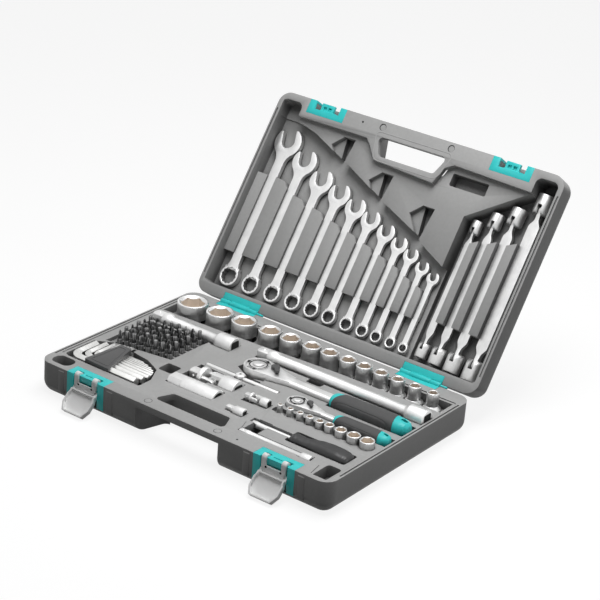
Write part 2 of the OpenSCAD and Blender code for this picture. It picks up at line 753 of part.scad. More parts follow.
// Female square along +X, open at x = 0
module square_hole(size, l) {
    s = size + drive_play;
    translate([-over, -s / 2, -s / 2]) cube([l + over, s, s]);
}

function tang_l(size) = size * 1.2;

// Extension bar along +X, male square first
module extension(l, d, end_d, size) {
    t = tang_l(size);
    end_l = end_d * 1.02;
    cone = l - end_l - size * 0.5;
    neck = min(t + size * 1.1, cone - 0.2);
    collar = min(t + size * 0.7, neck - 0.2);
    difference() {
        union() {
            square_tang(size, t + eps);
            turned([[t, size * 0.62], [min(t + size * 0.25, collar - 0.2), size * 0.7],
                    [collar, size * 0.7], [neck, d / 2], [cone, d / 2], [l - end_l, end_d / 2],
                    [l - 0.8, end_d / 2], [l, end_d / 2 - 0.8]]);
        }
        translate([l, 0, 0]) mirror([1, 0, 0]) square_hole(size, t + 2);
    }
}

// Seat of an extension bar in plan, along +X
module extension_seat(l, d, end_d, size) {
    g = seat_gap;
    end_l = end_d * 1.02 + size * 0.5;
    span_rect(-g, -max(d, size * 1.4) / 2 - g, l - end_l + eps, max(d, size * 1.4) / 2 + g);
    span_rect(l - end_l - g, -end_d / 2 - g, l + g, end_d / 2 + g);
}

ext_half_long_at = [-37.5, 57, 1];
ext_half_short_at = [-193, 47.5, 0.5];
ext_quarter_long_at = [64, -105.6, -3.5];
ext_quarter_short_at = [22, -77, 0];

module at_base(p) {
    translate([p[0], p[1], rim_z + p[2]]) children();
}

module extension_half_long() {
    color(satin) at_base(ext_half_long_at)
        extension(ext_half_long_l, ext_half_d, ext_half_end_d, drive_large);
}

module extension_half_short() {
    color(satin) at_base(ext_half_short_at)
        extension(ext_half_short_l, ext_half_d, ext_half_end_d, drive_large);
}

module extension_quarter_long() {
    color(satin) at_base(ext_quarter_long_at)
        extension(ext_quarter_long_l, ext_quarter_d, ext_quarter_end_d, drive_small);
}

module extension_quarter_short() {
    color(satin) at_base(ext_quarter_short_at)
        extension(ext_quarter_short_l, ext_quarter_d, ext_quarter_end_d, drive_small);
}

// ---------- sockets ----------

half_back = 112;
half_drive_d = 22;
small_row_y = -40;
small_drive_d = 12;
small_socket_h = 25;

function half_d(s) = 1.35 * s + 2.2;
function half_h(s) = max(38, 0.62 * s + 27.3);
function small_d(s) = s * 1.12 + 2.6;
function half_r(i) = max(half_d(half_sizes[i]), half_drive_d) / 2;
function half_x(i) = i == 0 ? -172 : half_x(i - 1) + half_r(i - 1) + half_r(i) + half_spaces[i - 1];
function small_r(i) = max(small_d(quarter_sizes[i]), small_drive_d) / 2;
function small_x(i) = i == 0 ? 68
    : small_x(i - 1) + small_r(i - 1) + small_r(i) + quarter_spaces[i - 1];

// Socket with its hexagon up at z = 0 and its square drive down at z = -h
module socket(s, od, h, drive_d, size) {
    r = od / 2;
    rd = drive_d / 2;
    low = h * 0.46;
    rise = min(4, abs(r - rd)) + 0.2;
    difference() {
        rotate_extrude() polygon([[0, -h], [rd - 0.8, -h], [rd, -h + 0.8], [rd, -h + low],
                                  [r, -h + low + rise], [r, -1], [r - 0.7, 0], [0, 0]]);
        translate([0, 0, -h * 0.42]) hexagon(s, h);
        translate([0, 0, -h * 0.5]) cylinder(h = h * 0.2, d = min(s, size) * 0.9);
        translate([0, 0, -h]) rotate([0, -90, 0]) square_hole(size, h * 0.42);
    }
}

module sockets_half_inch() {
    color(satin) for (i = [0:len(half_sizes) - 1])
        translate([half_x(i), half_back - half_r(i), rim_z + socket_rise])
            socket(half_sizes[i], half_d(half_sizes[i]), half_h(half_sizes[i]), half_drive_d, drive_large);
}

module sockets_quarter_inch() {
    color(satin) for (i = [0:len(quarter_sizes) - 1])
        translate([small_x(i), small_row_y, rim_z + small_socket_rise])
            socket(quarter_sizes[i], small_d(quarter_sizes[i]), small_socket_h, small_drive_d, drive_small);
}

// ---------- bits ----------

bit_l = 25;
bit_af = 6.35;
bit_step_x = 9.8;
bit_step_y = 11;
bit_cols = 8;
bit_rows = 6;
bit_first = [-181, -31];
bit_lean = 0.16;

function bit_at(i, j) = [bit_first[0] + i * bit_step_x, bit_first[1] + j * bit_step_y + i * bit_step_x * bit_lean];

// Insert bit, tip up at z = 0
module bit(kind) {
    translate([0, 0, -bit_l]) hexagon(bit_af, bit_l * 0.55);
    translate([0, 0, -bit_l * 0.46]) cylinder(h = bit_l * 0.3, r1 = bit_af * 0.45, r2 = bit_af * 0.4);
    if (kind == 0) translate([0, 0, -bit_l * 0.2]) for (a = [45, 135]) rotate(a)
        translate([-2.2, -0.6, 0]) cube([4.4, 1.2, bit_l * 0.2]);
    if (kind == 1) translate([0, 0, -bit_l * 0.2]) hexagon(4, bit_l * 0.2);
    if (kind == 2) translate([0, 0, -bit_l * 0.2]) for (a = [0, 60, 120]) rotate(a)
        translate([-2.2, -0.7, 0]) cube([4.4, 1.4, bit_l * 0.2]);
    if (kind == 3) translate([-2.6, -0.5, -bit_l * 0.2]) cube([5.2, 1, bit_l * 0.2]);
}

module bits() {
    color(bit_grey) for (i = [0:bit_cols - 1], j = [0:bit_rows - 1])
        translate([bit_at(i, j)[0], bit_at(i, j)[1], rim_z + bit_rise]) bit((i + 2 * j) % 4);
}

// ---------- hexagon keys ----------

key_z = -3;
holder_t = key_sizes[0] / cos(30) / 2 + 1.4;
key_corner = [-192, -100];
key_longest = 98;
key_shortest = 20;

function key_y(i) = i == 0 ? key_corner[1]
    : key_y(i - 1) + key_sizes[i - 1] / 2 + key_sizes[i] / 2 + 1;
function key_x(i) = i == 0 ? key_corner[0]
    : key_x(i - 1) + key_sizes[i - 1] / 2 + key_sizes[i] / 2 + 0.3;
function key_long(i) = key_longest - (key_x(i) - key_x(0)) + 3.4 * i - 0.85 * i * i;
function key_short(i) = key_shortest + 2.5 * (len(key_sizes) - 1 - i);

// Bent key: the long arm runs along +X from the corner, the short one along +Y
module hex_key(i, grow = 0) {
    s = key_sizes[i] + grow;
    long = key_long(i);
    short = key_short(i);
    bend = key_sizes[i] * 1.1 + 1;
    translate([bend, 0, 0]) rotate([0, 90, 0]) hexagon(s, long - bend);
    translate([0, bend, 0]) rotate([-90, 0, 0]) rotate(30) hexagon(s, short - bend);
    translate([bend, bend, 0]) rotate([0, 0, 180]) rotate_extrude(angle = 90)
        translate([bend, 0]) rotate(30) circle(d = s / cos(30), $fn = 6);
}

module hex_keys() {
    color(chrome) for (i = [0:len(key_sizes) - 1])
        translate([key_x(i), key_y(i), rim_z + key_z])
            hex_key(i);
}

// Flat holder across the long arms
module hex_key_holder() {
    t = holder_t;
    color(near_black) translate([0, 0, rim_z + key_z]) difference() {
        translate([0, 0, -t]) linear_extrude(2 * t) soft_polygon(holder_outline, 1.5);
        for (i = [0:len(key_sizes) - 1]) translate([key_x(i), key_y(i), 0]) hex_key(i, 2 * run_gap);
    }
}

holder_outline = [[-168, -107], [-130, -108.5], [-146, -50], [-162, -50]];

// ---------- ratchets ----------

// Plan of a ratchet's head with its neck, which narrows into the bar
module ratchet_plan(r, bar_w, neck) {
    w = bar_w / 2 - 0.3;
    a = acos((r - w) / neck);
    x = (r - 0.15) * cos(a);
    y = (r - 0.15) * sin(a);
    circle(r);
    polygon([[x, y], [neck, w], [neck, -w], [x, -y]]);
}

// Measures that follow from a head's radius
function hub_r(r) = r * 0.56;
function button_r(r) = r * 0.36;
function head_top(r) = r * 0.42;
function head_low(r) = -r * 0.52;
function lever_place(r) = [r * 1.18, r * 0.34];

// Ratchet body in its own frame: head's axis at the origin, bar along +X
module ratchet_body(r, bar_w, bar_t, grip_start, size) {
    difference() {
        union() {
            intersection() {
                translate([0, 0, head_low(r)]) linear_extrude(head_top(r) - head_low(r))
                    ratchet_plan(r, bar_w, r * 2.9);
                union() {
                    rotate_extrude() polygon([[0, head_low(r)], [r - 1, head_low(r)], [r * 1.9, -r * 0.3],
                        [r * 3.2, -bar_t / 2], [r * 3.2, bar_t / 2], [r * 1.9, r * 0.32],
                        [r - 0.6, head_top(r)], [0, head_top(r)]]);
                }
            }
            translate([r * 2.8, 0, 0]) rotate([90, 0, 90])
                linear_extrude(grip_start - r * 2.8 + 12) soft_rect(bar_w, bar_t, bar_t * 0.35);
        }
        translate([0, 0, head_low(r) - over]) cylinder(h = r * 2, r = hub_r(r) + run_gap);
        translate([0, 0, head_top(r) - r * 0.08]) difference() {
            cylinder(h = r, r = r * 0.84);
            cylinder(h = r, r = r * 0.66);
        }
        translate([lever_place(r)[0], lever_place(r)[1], head_top(r) - r * 0.3])
            cylinder(h = r, r = r * 0.24);
        for (a = [125, 235]) rotate(a) translate([r * 0.75, 0, head_top(r) - r * 0.2])
            cylinder(h = r, r = r * 0.07);
    }
}

// Drive that turns in the head: hub, flange below, square with its detent ball, button bore
module ratchet_drive(r, size) {
    low = head_low(r) - 0.4;
    difference() {
        union() {
            translate([0, 0, low]) cylinder(h = head_top(r) - low - 0.2, r = hub_r(r));
            translate([0, 0, low - 1.6]) cylinder(h = 1.6, r = hub_r(r) * 1.18);
            translate([0, 0, low - 1.6 + eps]) rotate([0, 90, 0]) square_tang(size, size);
        }
        translate([0, 0, low + 4]) cylinder(h = 2 * r, r = button_r(r) + run_gap);
    }
}

module ratchet_button(r) {
    low = head_top(r) - r * 0.42;
    rotate_extrude() polygon([[0, low], [button_r(r), low], [button_r(r), head_top(r) + r * 0.06],
                              [button_r(r) - 0.8, head_top(r) + r * 0.12], [0, head_top(r) + r * 0.12]]);
}

// Reversing lever on its pin
module ratchet_lever(r) {
    translate([lever_place(r)[0], lever_place(r)[1], 0]) {
        translate([0, 0, head_top(r) - r * 0.28]) cylinder(h = r * 0.28 + 0.4, r = r * 0.24 - run_gap);
        translate([0, 0, head_top(r) + 0.3]) linear_extrude(r * 0.16) {
            circle(r * 0.3);
            rotate(-42) translate([0, -r * 0.13]) square([r * 0.62, r * 0.26]);
            rotate(-42) translate([r * 0.62, 0]) circle(r * 0.16);
        }
    }
}

// Grip on the bar: round with two flats, a collar at the front and a hanging hole at the end
module ratchet_grip(d, x1, x2, bar_w, bar_t) {
    r = d / 2;
    l = x2 - x1;
    difference() {
        intersection() {
            turned([[x1, r * 0.66], [x1 + l * 0.02, r * 0.8], [x1 + l * 0.14, r * 0.9],
                    [x1 + l * 0.2, r * 0.82], [x1 + l * 0.34, r * 0.96], [x1 + l * 0.5, r * 0.86],
                    [x1 + l * 0.72, r], [x1 + l * 0.88, r * 0.92], [x1 + l * 0.97, r * 0.66],
                    [x2, r * 0.34]]);
            translate([x1, -d, -r * 0.86]) cube([l, 2 * d, r * 1.72]);
        }
        translate([x1 - over, -bar_w / 2 - eps, -bar_t / 2 - eps])
            cube([12 + over + eps, bar_w + 2 * eps, bar_t + 2 * eps]);
        translate([x2 - l * 0.09, r * 0.12, -d]) cylinder(h = 2 * d, r = r * 0.2);
    }
}

half_bar = [15, 10];
quarter_bar = [8.6, 6.4];
ratchet_half_at = [-12, 21.5, 7 - head_top(ratchet_half_head_r)];
ratchet_quarter_at = [74, -15.8, 5 - head_top(ratchet_quarter_head_r)];
grip_half_start = 109;
grip_quarter_start = 54;

module ratchet_half_body() {
    color(chrome) at_base(ratchet_half_at)
        ratchet_body(ratchet_half_head_r, half_bar[0], half_bar[1], grip_half_start, drive_large);
}

module ratchet_half_grip() {
    color(grip_grey) at_base(ratchet_half_at)
        ratchet_grip(ratchet_half_grip_d, grip_half_start, ratchet_half_l, half_bar[0], half_bar[1]);
}

module ratchet_half_drive() {
    color(satin) at_base(ratchet_half_at) ratchet_drive(ratchet_half_head_r, drive_large);
}

module ratchet_half_lever() {
    color(satin) at_base(ratchet_half_at) ratchet_lever(ratchet_half_head_r);
}

module ratchet_half_button() {
    color(chrome) at_base(ratchet_half_at) ratchet_button(ratchet_half_head_r);
}

module ratchet_quarter_body() {
    color(chrome) at_base(ratchet_quarter_at)
        ratchet_body(ratchet_quarter_head_r, quarter_bar[0], quarter_bar[1], grip_quarter_start, drive_small);
}

module ratchet_quarter_grip() {
    color(grip_grey) at_base(ratchet_quarter_at)
        ratchet_grip(ratchet_quarter_grip_d, grip_quarter_start, ratchet_quarter_l,
                     quarter_bar[0], quarter_bar[1]);
}

module ratchet_quarter_drive() {
    color(satin) at_base(ratchet_quarter_at) ratchet_drive(ratchet_quarter_head_r, drive_small);
}

module ratchet_quarter_lever() {
    color(satin) at_base(ratchet_quarter_at) ratchet_lever(ratchet_quarter_head_r);
}

module ratchet_quarter_button() {
    color(chrome) at_base(ratchet_quarter_at) ratchet_button(ratchet_quarter_head_r);
}

// Seat of a ratchet: head, neck, bar and grip in plan, at their own depths
module ratchet_seat(r, bar_w, bar_t, grip_start, l, grip_d, size) {
    g = seat_gap;
    well(head_low(r) - 2 - size - g) circle(hub_r(r) * 1.18 + 1);
    well(head_low(r) - 2 - g) circle(r + 2 * g);
    well(-r * 0.56) intersection() {
        ratchet_plan(r + 2 * g, bar_w + 4 * g, r * 2.9);
        square([10 * r, 3 * r], center = true);
    }
    well(-bar_t / 2 - g) span_rect(r, -bar_w / 2 - 2 * g, grip_start + g, bar_w / 2 + 2 * g);
    well(-grip_d / 2 * 0.86 - g) span_rect(grip_start - g, -grip_d / 2 - g, l + g, grip_d / 2 + g);
}

// ---------- spinner handle and T-bar ----------

spinner_at = [59, -78, -6];
spinner_shaft_l = 55;
t_bar_at = [-66, -6.6, -3];
t_head_x = 50;
t_head_d = 12;
t_slide = 20;

module spinner_handle() {
    r = spinner_grip_d / 2;
    l = spinner_grip_l;
    g = spinner_shaft_l;
    color(near_black) at_base(spinner_at) difference() {
        union() {
            square_tang(drive_small, tang_l(drive_small) + eps);
            turned([[tang_l(drive_small), drive_small * 0.62], [tang_l(drive_small) + 2, 3.6],
                    [g + 1, 3.6]]);
            turned([[g, r * 0.5], [g + l * 0.05, r * 0.62], [g + l * 0.16, r * 0.66], [g + l * 0.26, r * 0.92],
                    [g + l * 0.36, r], [g + l * 0.9, r], [g + l * 0.97, r * 0.86], [g + l, r * 0.6]]);
        }
        for (a = [0:60:300]) rotate([a, 0, 0]) translate([g + l * 0.3, 0, r * 1.16])
            bar_x(0, l * 0.56, r * 0.5);
    }
}

module t_bar() {
    color(satin) at_base(t_bar_at) turned([[0, t_bar_d / 2 - 0.6], [0.6, t_bar_d / 2],
        [t_bar_l - 0.6, t_bar_d / 2], [t_bar_l, t_bar_d / 2 - 0.6]]);
}

// Sliding head of the T-bar, its square pointing down
module t_bar_head() {
    color(satin) at_base(t_bar_at) translate([t_head_x, 0, 0]) difference() {
        union() {
            rotate_extrude() polygon([[0, -7], [t_head_d / 2 - 1, -7], [t_head_d / 2, -6],
                                      [t_head_d / 2, 4.6], [t_head_d / 2 - 1.4, 6], [0, 6]]);
            translate([0, 0, -7 + eps]) rotate([0, 90, 0]) square_tang(drive_small, drive_small * 1.2);
        }
        bar_x(-t_head_d, t_head_d, t_bar_d + 2 * run_gap);
        translate([0, 0, 3.6]) cylinder(h = over * 2, d = 3);
    }
}

// ---------- universal joints and spark-plug socket ----------

uni_half_at = [-68, -31, -5];
uni_quarter_at = [21, -42, 2];
uni_turn = 15;

function uni_base(r) = r * 1.02;
function ear_w(r) = ear_in(r) * 0.88;
function ear_in(r) = r * 0.42;
function ear_out(r) = r * 0.84;

// Two ears with their bores about the cross, ears at +z and -z, body towards +x from uni_base
module yoke(r, body_l) {
    difference() {
        intersection() {
            union() {
                for (m = [0, 1]) mirror([0, 0, m]) {
                    translate([0, 0, ear_in(r)]) cylinder(h = ear_out(r) - ear_in(r), r = ear_w(r));
                    translate([0, -ear_w(r), ear_in(r)])
                        cube([uni_base(r) + eps, 2 * ear_w(r), ear_out(r) - ear_in(r)]);
                }
                translate([uni_base(r), -r, -r]) cube([body_l, 2 * r, 2 * r]);
            }
            turned([[-r, r * 0.9], [uni_base(r), r * 0.94], [uni_base(r) + 2, r], [uni_base(r) + body_l - 0.8, r],
                    [uni_base(r) + body_l, r - 0.8]]);
        }
        cylinder(h = 4 * r, d = r * 0.34 + 2 * run_gap, center = true);
    }
}

// Cross with its four pins
module uni_cross(r) {
    b = ear_in(r) - move_gap / 2;
    cube([2 * b, 2 * b, 2 * b], center = true);
    cylinder(h = 2 * ear_out(r) - 0.4, d = r * 0.34, center = true);
    rotate([90, 0, 0]) cylinder(h = 2 * ear_out(r) - 0.4, d = r * 0.34, center = true);
}

function uni_body(r) = r * 1.75;
function uni_head(r) = r * 0.5;
function uni_mid(r, size) = tang_l(size) + uni_head(r) + uni_base(r);

module uni_socket(r, size) {
    difference() {
        yoke(r, uni_body(r));
        translate([uni_base(r) + uni_body(r), 0, 0]) mirror([1, 0, 0]) square_hole(size, size * 1.1);
    }
}

module uni_fork(r, size) {
    mirror([1, 0, 0]) rotate([90, 0, 0]) {
        yoke(r, uni_head(r));
        translate([uni_base(r) + uni_head(r) + tang_l(size), 0, 0]) mirror([1, 0, 0])
            square_tang(size, tang_l(size) + eps);
    }
}

module at_uni(p, r, size) {
    at_base(p) translate([uni_mid(r, size), 0, 0]) children();
}

module universal_half_fork() {
    color(satin) at_uni(uni_half_at, uni_half_d / 2, drive_large) uni_fork(uni_half_d / 2, drive_large);
}

module universal_half_cross() {
    color(satin) at_uni(uni_half_at, uni_half_d / 2, drive_large) uni_cross(uni_half_d / 2);
}

module universal_half_socket() {
    color(satin) at_uni(uni_half_at, uni_half_d / 2, drive_large) uni_socket(uni_half_d / 2, drive_large);
}

uni_quarter_r = ext_quarter_end_d / 2;

module universal_quarter_fork() {
    color(satin) at_uni(uni_quarter_at, uni_quarter_r, drive_small) uni_fork(uni_quarter_r, drive_small);
}

module universal_quarter_cross() {
    color(satin) at_uni(uni_quarter_at, uni_quarter_r, drive_small) uni_cross(uni_quarter_r);
}

module universal_quarter_socket() {
    color(satin) at_uni(uni_quarter_at, uni_quarter_r, drive_small) uni_socket(uni_quarter_r, drive_small);
}

// Seat of a universal joint: its socket end fits, its fork has room to swing
module uni_seat(r, size) {
    m = uni_mid(r, size);
    end = uni_base(r) + uni_body(r);
    g = seat_gap;
    translate([m, 0, 0]) {
        well(-r - g) span_rect(-r, -r - g, end + g, r + g);
        well(-r - g) polygon([[-m - 1, -r * 0.7 - m * sin(uni_turn)], [0, -r * 1.3], [0, r * 1.3],
                                 [-m - 1, r * 0.7 + m * sin(uni_turn)]]);
    }
}

plug_at = [-71, -63, -7];
plug_hex_l = 20;

// Spark-plug socket along +X: hexagon on the square's end, mouth at the right
module spark_plug_socket() {
    r = plug_d / 2;
    color(satin) at_base(plug_at) difference() {
        union() {
            rotate([0, 90, 0]) rotate(30) hexagon(plug_d * 0.86, plug_hex_l);
            turned([[plug_hex_l - 3, r * 0.8], [plug_hex_l, r], [plug_l - 0.8, r], [plug_l, r - 0.8]]);
        }
        square_hole(drive_large, 15);
        translate([plug_hex_l, 0, 0]) rotate([0, 90, 0]) rotate(30) hexagon(16 + 0.3, plug_l);
        bar_x(10, plug_hex_l + 1, 11);
    }
}

// ---------- the lower half's tray ----------

tray_drop = 1.2;

// Inner edge of the rim in plan, which steps around the handle
module base_basin() {
    w = case_w / 2 - wall_in;
    soft_polygon([[-w, -108], [-66, -108], [-58, -88], [58, -88], [66, -110.5], [152, -110.5],
                  [176, -110.5], [180, -132], [w, -132], [w, 117], [-w, 117]], 3);
}

module base_case() {
    g = seat_gap;
    color(tray_grey) difference() {
        case_block(base_h);
        translate([0, front_y, 0]) handle_cuts(base_h);
        for (side = [-1, 1]) {
            translate([side * fitting_x, hinge_y, hinge_z]) mirror([0, 1, 0]) hinge_room();
            translate([side * fitting_x, front_y, rim_z]) fitting_room(frame_d, frame_h);
        }
        translate([0, 0, rim_z]) {
            rim_groove(front_y, back_y);
            well(-tray_drop) base_basin();
            // Trench of the large sockets and a hole for each of them
            well(-12) polygon([[-200, 70], [-60, 76], [60, 84], [200, 86], [200, half_back + 1.5],
                                  [-200, half_back + 1.5]]);
            for (i = [0:len(half_sizes) - 1]) well(socket_rise - half_h(half_sizes[i]) - g)
                translate([half_x(i), half_back - half_r(i)]) circle(half_r(i) + g);
            for (i = [0:len(quarter_sizes) - 1]) well(small_socket_rise - small_socket_h - g)
                translate([small_x(i), small_row_y]) circle(small_r(i) + g);
            well(-6) span_rect(small_x(0) - 9, small_row_y - 5, small_x(8) + 7, small_row_y + 6, 3);
            // Bits stand in one slot a row, in a sunken field
            well(-6) polygon([[-191, -45], [-101, -30], [-101, 38.5], [-170, 34], [-191, 34]]);
            for (j = [0:bit_rows - 1]) well(bit_rise - bit_l - g) polygon([
                for (e = [[0, -1], [bit_cols - 1, -1], [bit_cols - 1, 1], [0, 1]])
                    bit_at(e[0], j) + [e[0] == 0 ? -4.2 : 4.2, e[1] * 4.1]]);
            // Pocket of the hexagon keys
            well(key_z - holder_t - g)
                polygon([[-200, -104], [-192, -109], [-84, -109], [-84, -86], [-96, -62], [-120, -50],
                         [-146, -46], [-146, -33], [-164, -33], [-200, -56]]);
            // Seats of the bars
            for (e = [[ext_half_long_at, ext_half_long_l], [ext_half_short_at, ext_half_short_l]])
                translate([e[0][0], e[0][1], 0]) well(e[0][2] - ext_half_end_d / 2 - g)
                    extension_seat(e[1], ext_half_d, ext_half_end_d, drive_large);
            for (e = [[ext_quarter_long_at, ext_quarter_long_l], [ext_quarter_short_at, ext_quarter_short_l]])
                translate([e[0][0], e[0][1], 0]) well(e[0][2] - ext_quarter_end_d / 2 - g)
                    extension_seat(e[1], ext_quarter_d, ext_quarter_end_d, drive_small);
            translate([ratchet_half_at[0], ratchet_half_at[1], ratchet_half_at[2]])
                ratchet_seat(ratchet_half_head_r, half_bar[0], half_bar[1], grip_half_start,
                             ratchet_half_l, ratchet_half_grip_d, drive_large);
            translate([ratchet_quarter_at[0], ratchet_quarter_at[1], ratchet_quarter_at[2]])
                ratchet_seat(ratchet_quarter_head_r, quarter_bar[0], quarter_bar[1], grip_quarter_start,
                             ratchet_quarter_l, ratchet_quarter_grip_d, drive_small);
            // Spinner handle
            translate([spinner_at[0], spinner_at[1], spinner_at[2]]) {
                well(-drive_small * 0.62 - g) span_rect(-g, -4.5, spinner_shaft_l, 4.5);
                well(-spinner_grip_d / 2 - g) span_rect(spinner_shaft_l - 1, -spinner_grip_d / 2 - g,
                    spinner_shaft_l + spinner_grip_l + g, spinner_grip_d / 2 + g, 3);
            }
            // T-bar, with room for its head to slide
            translate([t_bar_at[0], t_bar_at[1], t_bar_at[2]]) {
                well(-t_bar_d / 2 - g) span_rect(-g, -t_bar_d / 2 - g, t_bar_l + g, t_bar_d / 2 + g);
                well(-7 - drive_small * 1.2 - g) span_rect(t_head_x - t_head_d / 2 - g, -t_head_d / 2 - g,
                    t_head_x + t_slide + t_head_d / 2 + g, t_head_d / 2 + g, 3);
            }
            translate([uni_half_at[0], uni_half_at[1], uni_half_at[2]]) uni_seat(uni_half_d / 2, drive_large);
            translate([uni_quarter_at[0], uni_quarter_at[1], uni_quarter_at[2]])
                uni_seat(uni_quarter_r, drive_small);
            translate([plug_at[0], plug_at[1], plug_at[2]])
                well(-plug_d / 2 - g) span_rect(-g, -plug_d / 2 - g, plug_l + g, plug_d / 2 + g);
            // Finger pockets
            well(-18) span_rect(-98, -58, -78, -38, 3);
            well(-18) span_rect(44, 39, 65, 54, 3);
            well(-16) polygon([[-36, 13.6], [-8, -2], [10, 4], [-8, 40], [-29, 51]]);
            well(-16) span_rect(65, -108, 84, -72, 2);
            well(-16) span_rect(182, -132, 200, -101, 4);
            well(-12) span_rect(-200, -132, -172, -113, 8);
        }
    }
}

// ---------- nodes that share a module ----------

module wrench_19() { lid_wrench(0); }
module wrench_17() { lid_wrench(1); }
module wrench_16() { lid_wrench(2); }
module wrench_15() { lid_wrench(3); }
module wrench_14() { lid_wrench(4); }
module wrench_13() { lid_wrench(5); }
module wrench_12() { lid_wrench(6); }
module wrench_11() { lid_wrench(7); }
module wrench_10() { lid_wrench(8); }
module wrench_9() { lid_wrench(9); }
module wrench_8() { lid_wrench(10); }
module flex_bar_8_9() { lid_flex_bar(0); }
module flex_bar_10_11() { lid_flex_bar(1); }
module flex_bar_12_13() { lid_flex_bar(2); }
module flex_bar_14_15() { lid_flex_bar(3); }
module flex_head_8() { lid_flex_head(0); }
module flex_head_9() { lid_flex_head(1); }
module flex_head_10() { lid_flex_head(2); }
module flex_head_11() { lid_flex_head(3); }
module flex_head_12() { lid_flex_head(4); }
module flex_head_13() { lid_flex_head(5); }
module flex_head_14() { lid_flex_head(6); }
module flex_head_15() { lid_flex_head(7); }

base_case();
lid_case();
base_fittings();
lid_fittings();
latch_link_left();
latch_link_right();
latch_lever_left();
latch_lever_right();
wrench_19();
wrench_17();
wrench_16();
wrench_15();
wrench_14();
wrench_13();
wrench_12();
wrench_11();
wrench_10();
wrench_9();
wrench_8();
flex_bar_8_9();
flex_bar_10_11();
flex_bar_12_13();
flex_bar_14_15();
flex_head_8();
flex_head_9();
flex_head_10();
flex_head_11();
flex_head_12();
flex_head_13();
flex_head_14();
flex_head_15();
sockets_half_inch();
sockets_quarter_inch();
bits();
hex_keys();
hex_key_holder();
extension_half_long();
extension_half_short();
extension_quarter_long();
extension_quarter_short();
ratchet_half_body();
ratchet_half_grip();
ratchet_half_drive();
ratchet_half_lever();
ratchet_half_button();
ratchet_quarter_body();
ratchet_quarter_grip();
ratchet_quarter_drive();
ratchet_quarter_lever();
ratchet_quarter_button();
spinner_handle();
t_bar();
t_bar_head();
universal_half_fork();
universal_half_cross();
universal_half_socket();
spark_plug_socket();
universal_quarter_fork();
universal_quarter_cross();
universal_quarter_socket();
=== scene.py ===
import math

import bmesh
import bpy
from mathutils import Matrix, Vector


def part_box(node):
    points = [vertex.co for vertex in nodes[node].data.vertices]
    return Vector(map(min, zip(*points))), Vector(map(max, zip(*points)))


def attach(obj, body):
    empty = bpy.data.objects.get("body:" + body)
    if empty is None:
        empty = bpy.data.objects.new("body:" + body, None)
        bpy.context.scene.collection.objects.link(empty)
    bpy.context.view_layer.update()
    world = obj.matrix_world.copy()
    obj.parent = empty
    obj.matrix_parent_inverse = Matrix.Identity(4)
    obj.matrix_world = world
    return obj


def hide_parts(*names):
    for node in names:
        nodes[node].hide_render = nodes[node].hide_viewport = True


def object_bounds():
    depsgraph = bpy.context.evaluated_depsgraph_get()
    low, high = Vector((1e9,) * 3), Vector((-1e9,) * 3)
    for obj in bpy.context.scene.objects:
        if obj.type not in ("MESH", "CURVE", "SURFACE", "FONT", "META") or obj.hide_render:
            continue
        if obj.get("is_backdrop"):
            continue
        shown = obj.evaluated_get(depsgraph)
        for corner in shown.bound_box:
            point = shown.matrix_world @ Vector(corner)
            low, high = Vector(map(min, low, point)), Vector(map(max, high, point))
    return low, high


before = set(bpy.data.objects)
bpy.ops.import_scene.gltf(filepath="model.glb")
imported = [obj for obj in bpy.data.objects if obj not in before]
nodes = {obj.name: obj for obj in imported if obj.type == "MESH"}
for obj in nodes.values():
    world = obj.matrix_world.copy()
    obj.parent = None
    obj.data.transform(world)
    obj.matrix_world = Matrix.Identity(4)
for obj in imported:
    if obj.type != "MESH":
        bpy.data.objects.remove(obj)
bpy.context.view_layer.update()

scene = bpy.context.scene


# ---------- camera ----------
# The open case is seen from its front right, a little above its lid's hinge line, with the
# camera rolled slightly so that the lid's top edge falls to the right.
camera = bpy.data.objects.new("camera", bpy.data.cameras.new("camera"))
scene.collection.objects.link(camera)
camera.location = (1.2269, -1.6449, 1.0691)
sight = Vector((-0.529, 0.7427, -0.4107)).normalized()
across = Vector((0.7933, 0.6046, 0.0716))
across = (across - sight * across.dot(sight)).normalized()
camera.rotation_euler = Matrix((across, across.cross(sight), -sight)).transposed().to_euler()
camera.data.sensor_width = 36
camera.data.lens = 119.0
camera.data.clip_start = 0.05
camera.data.clip_end = 50
scene.camera = camera
scene.view_settings.view_transform = "Standard"


# ---------- studio ----------
# A wide white table under a large soft box that hangs straight over the case, so that its front
# wall falls into shade. A weaker one at the right gives the metal its second light.
class Value:
    """One socket of a finish's nodes, on which shader sums are written as Python sums."""

    def __init__(self, finish, socket):
        self.finish = finish
        self.socket = socket

    def math(self, operation, *terms):
        return self.finish.node("ShaderNodeMath", {"operation": operation}, dict(enumerate(terms)))

    def __add__(self, other):
        return self.math("ADD", self, other)

    def __mul__(self, other):
        return self.math("MULTIPLY", self, other)

    __radd__ = __add__
    __rmul__ = __mul__

    def __abs__(self):
        return self.math("ABSOLUTE", self)

    def least(self, other):
        return self.math("MINIMUM", self, other)

    def step(self, low, high):
        """0 below low, 1 above high, and a smooth rise between them."""
        settings = {"interpolation_type": "SMOOTHSTEP"}
        ends = {"Value": self, "From Min": low, "From Max": high, "To Min": 0.0, "To Max": 1.0}
        return self.finish.node("ShaderNodeMapRange", settings, ends)

    def mix(self, low, high):
        """The colour low where this value is 0, and high where it is 1."""
        ends = {"Factor": self, "A": low, "B": high}
        return self.finish.node("ShaderNodeMix", {"data_type": "RGBA"}, ends)

    def output(self, name):
        """Another output of the same node."""
        return Value(self.finish, self.socket.node.outputs[name])


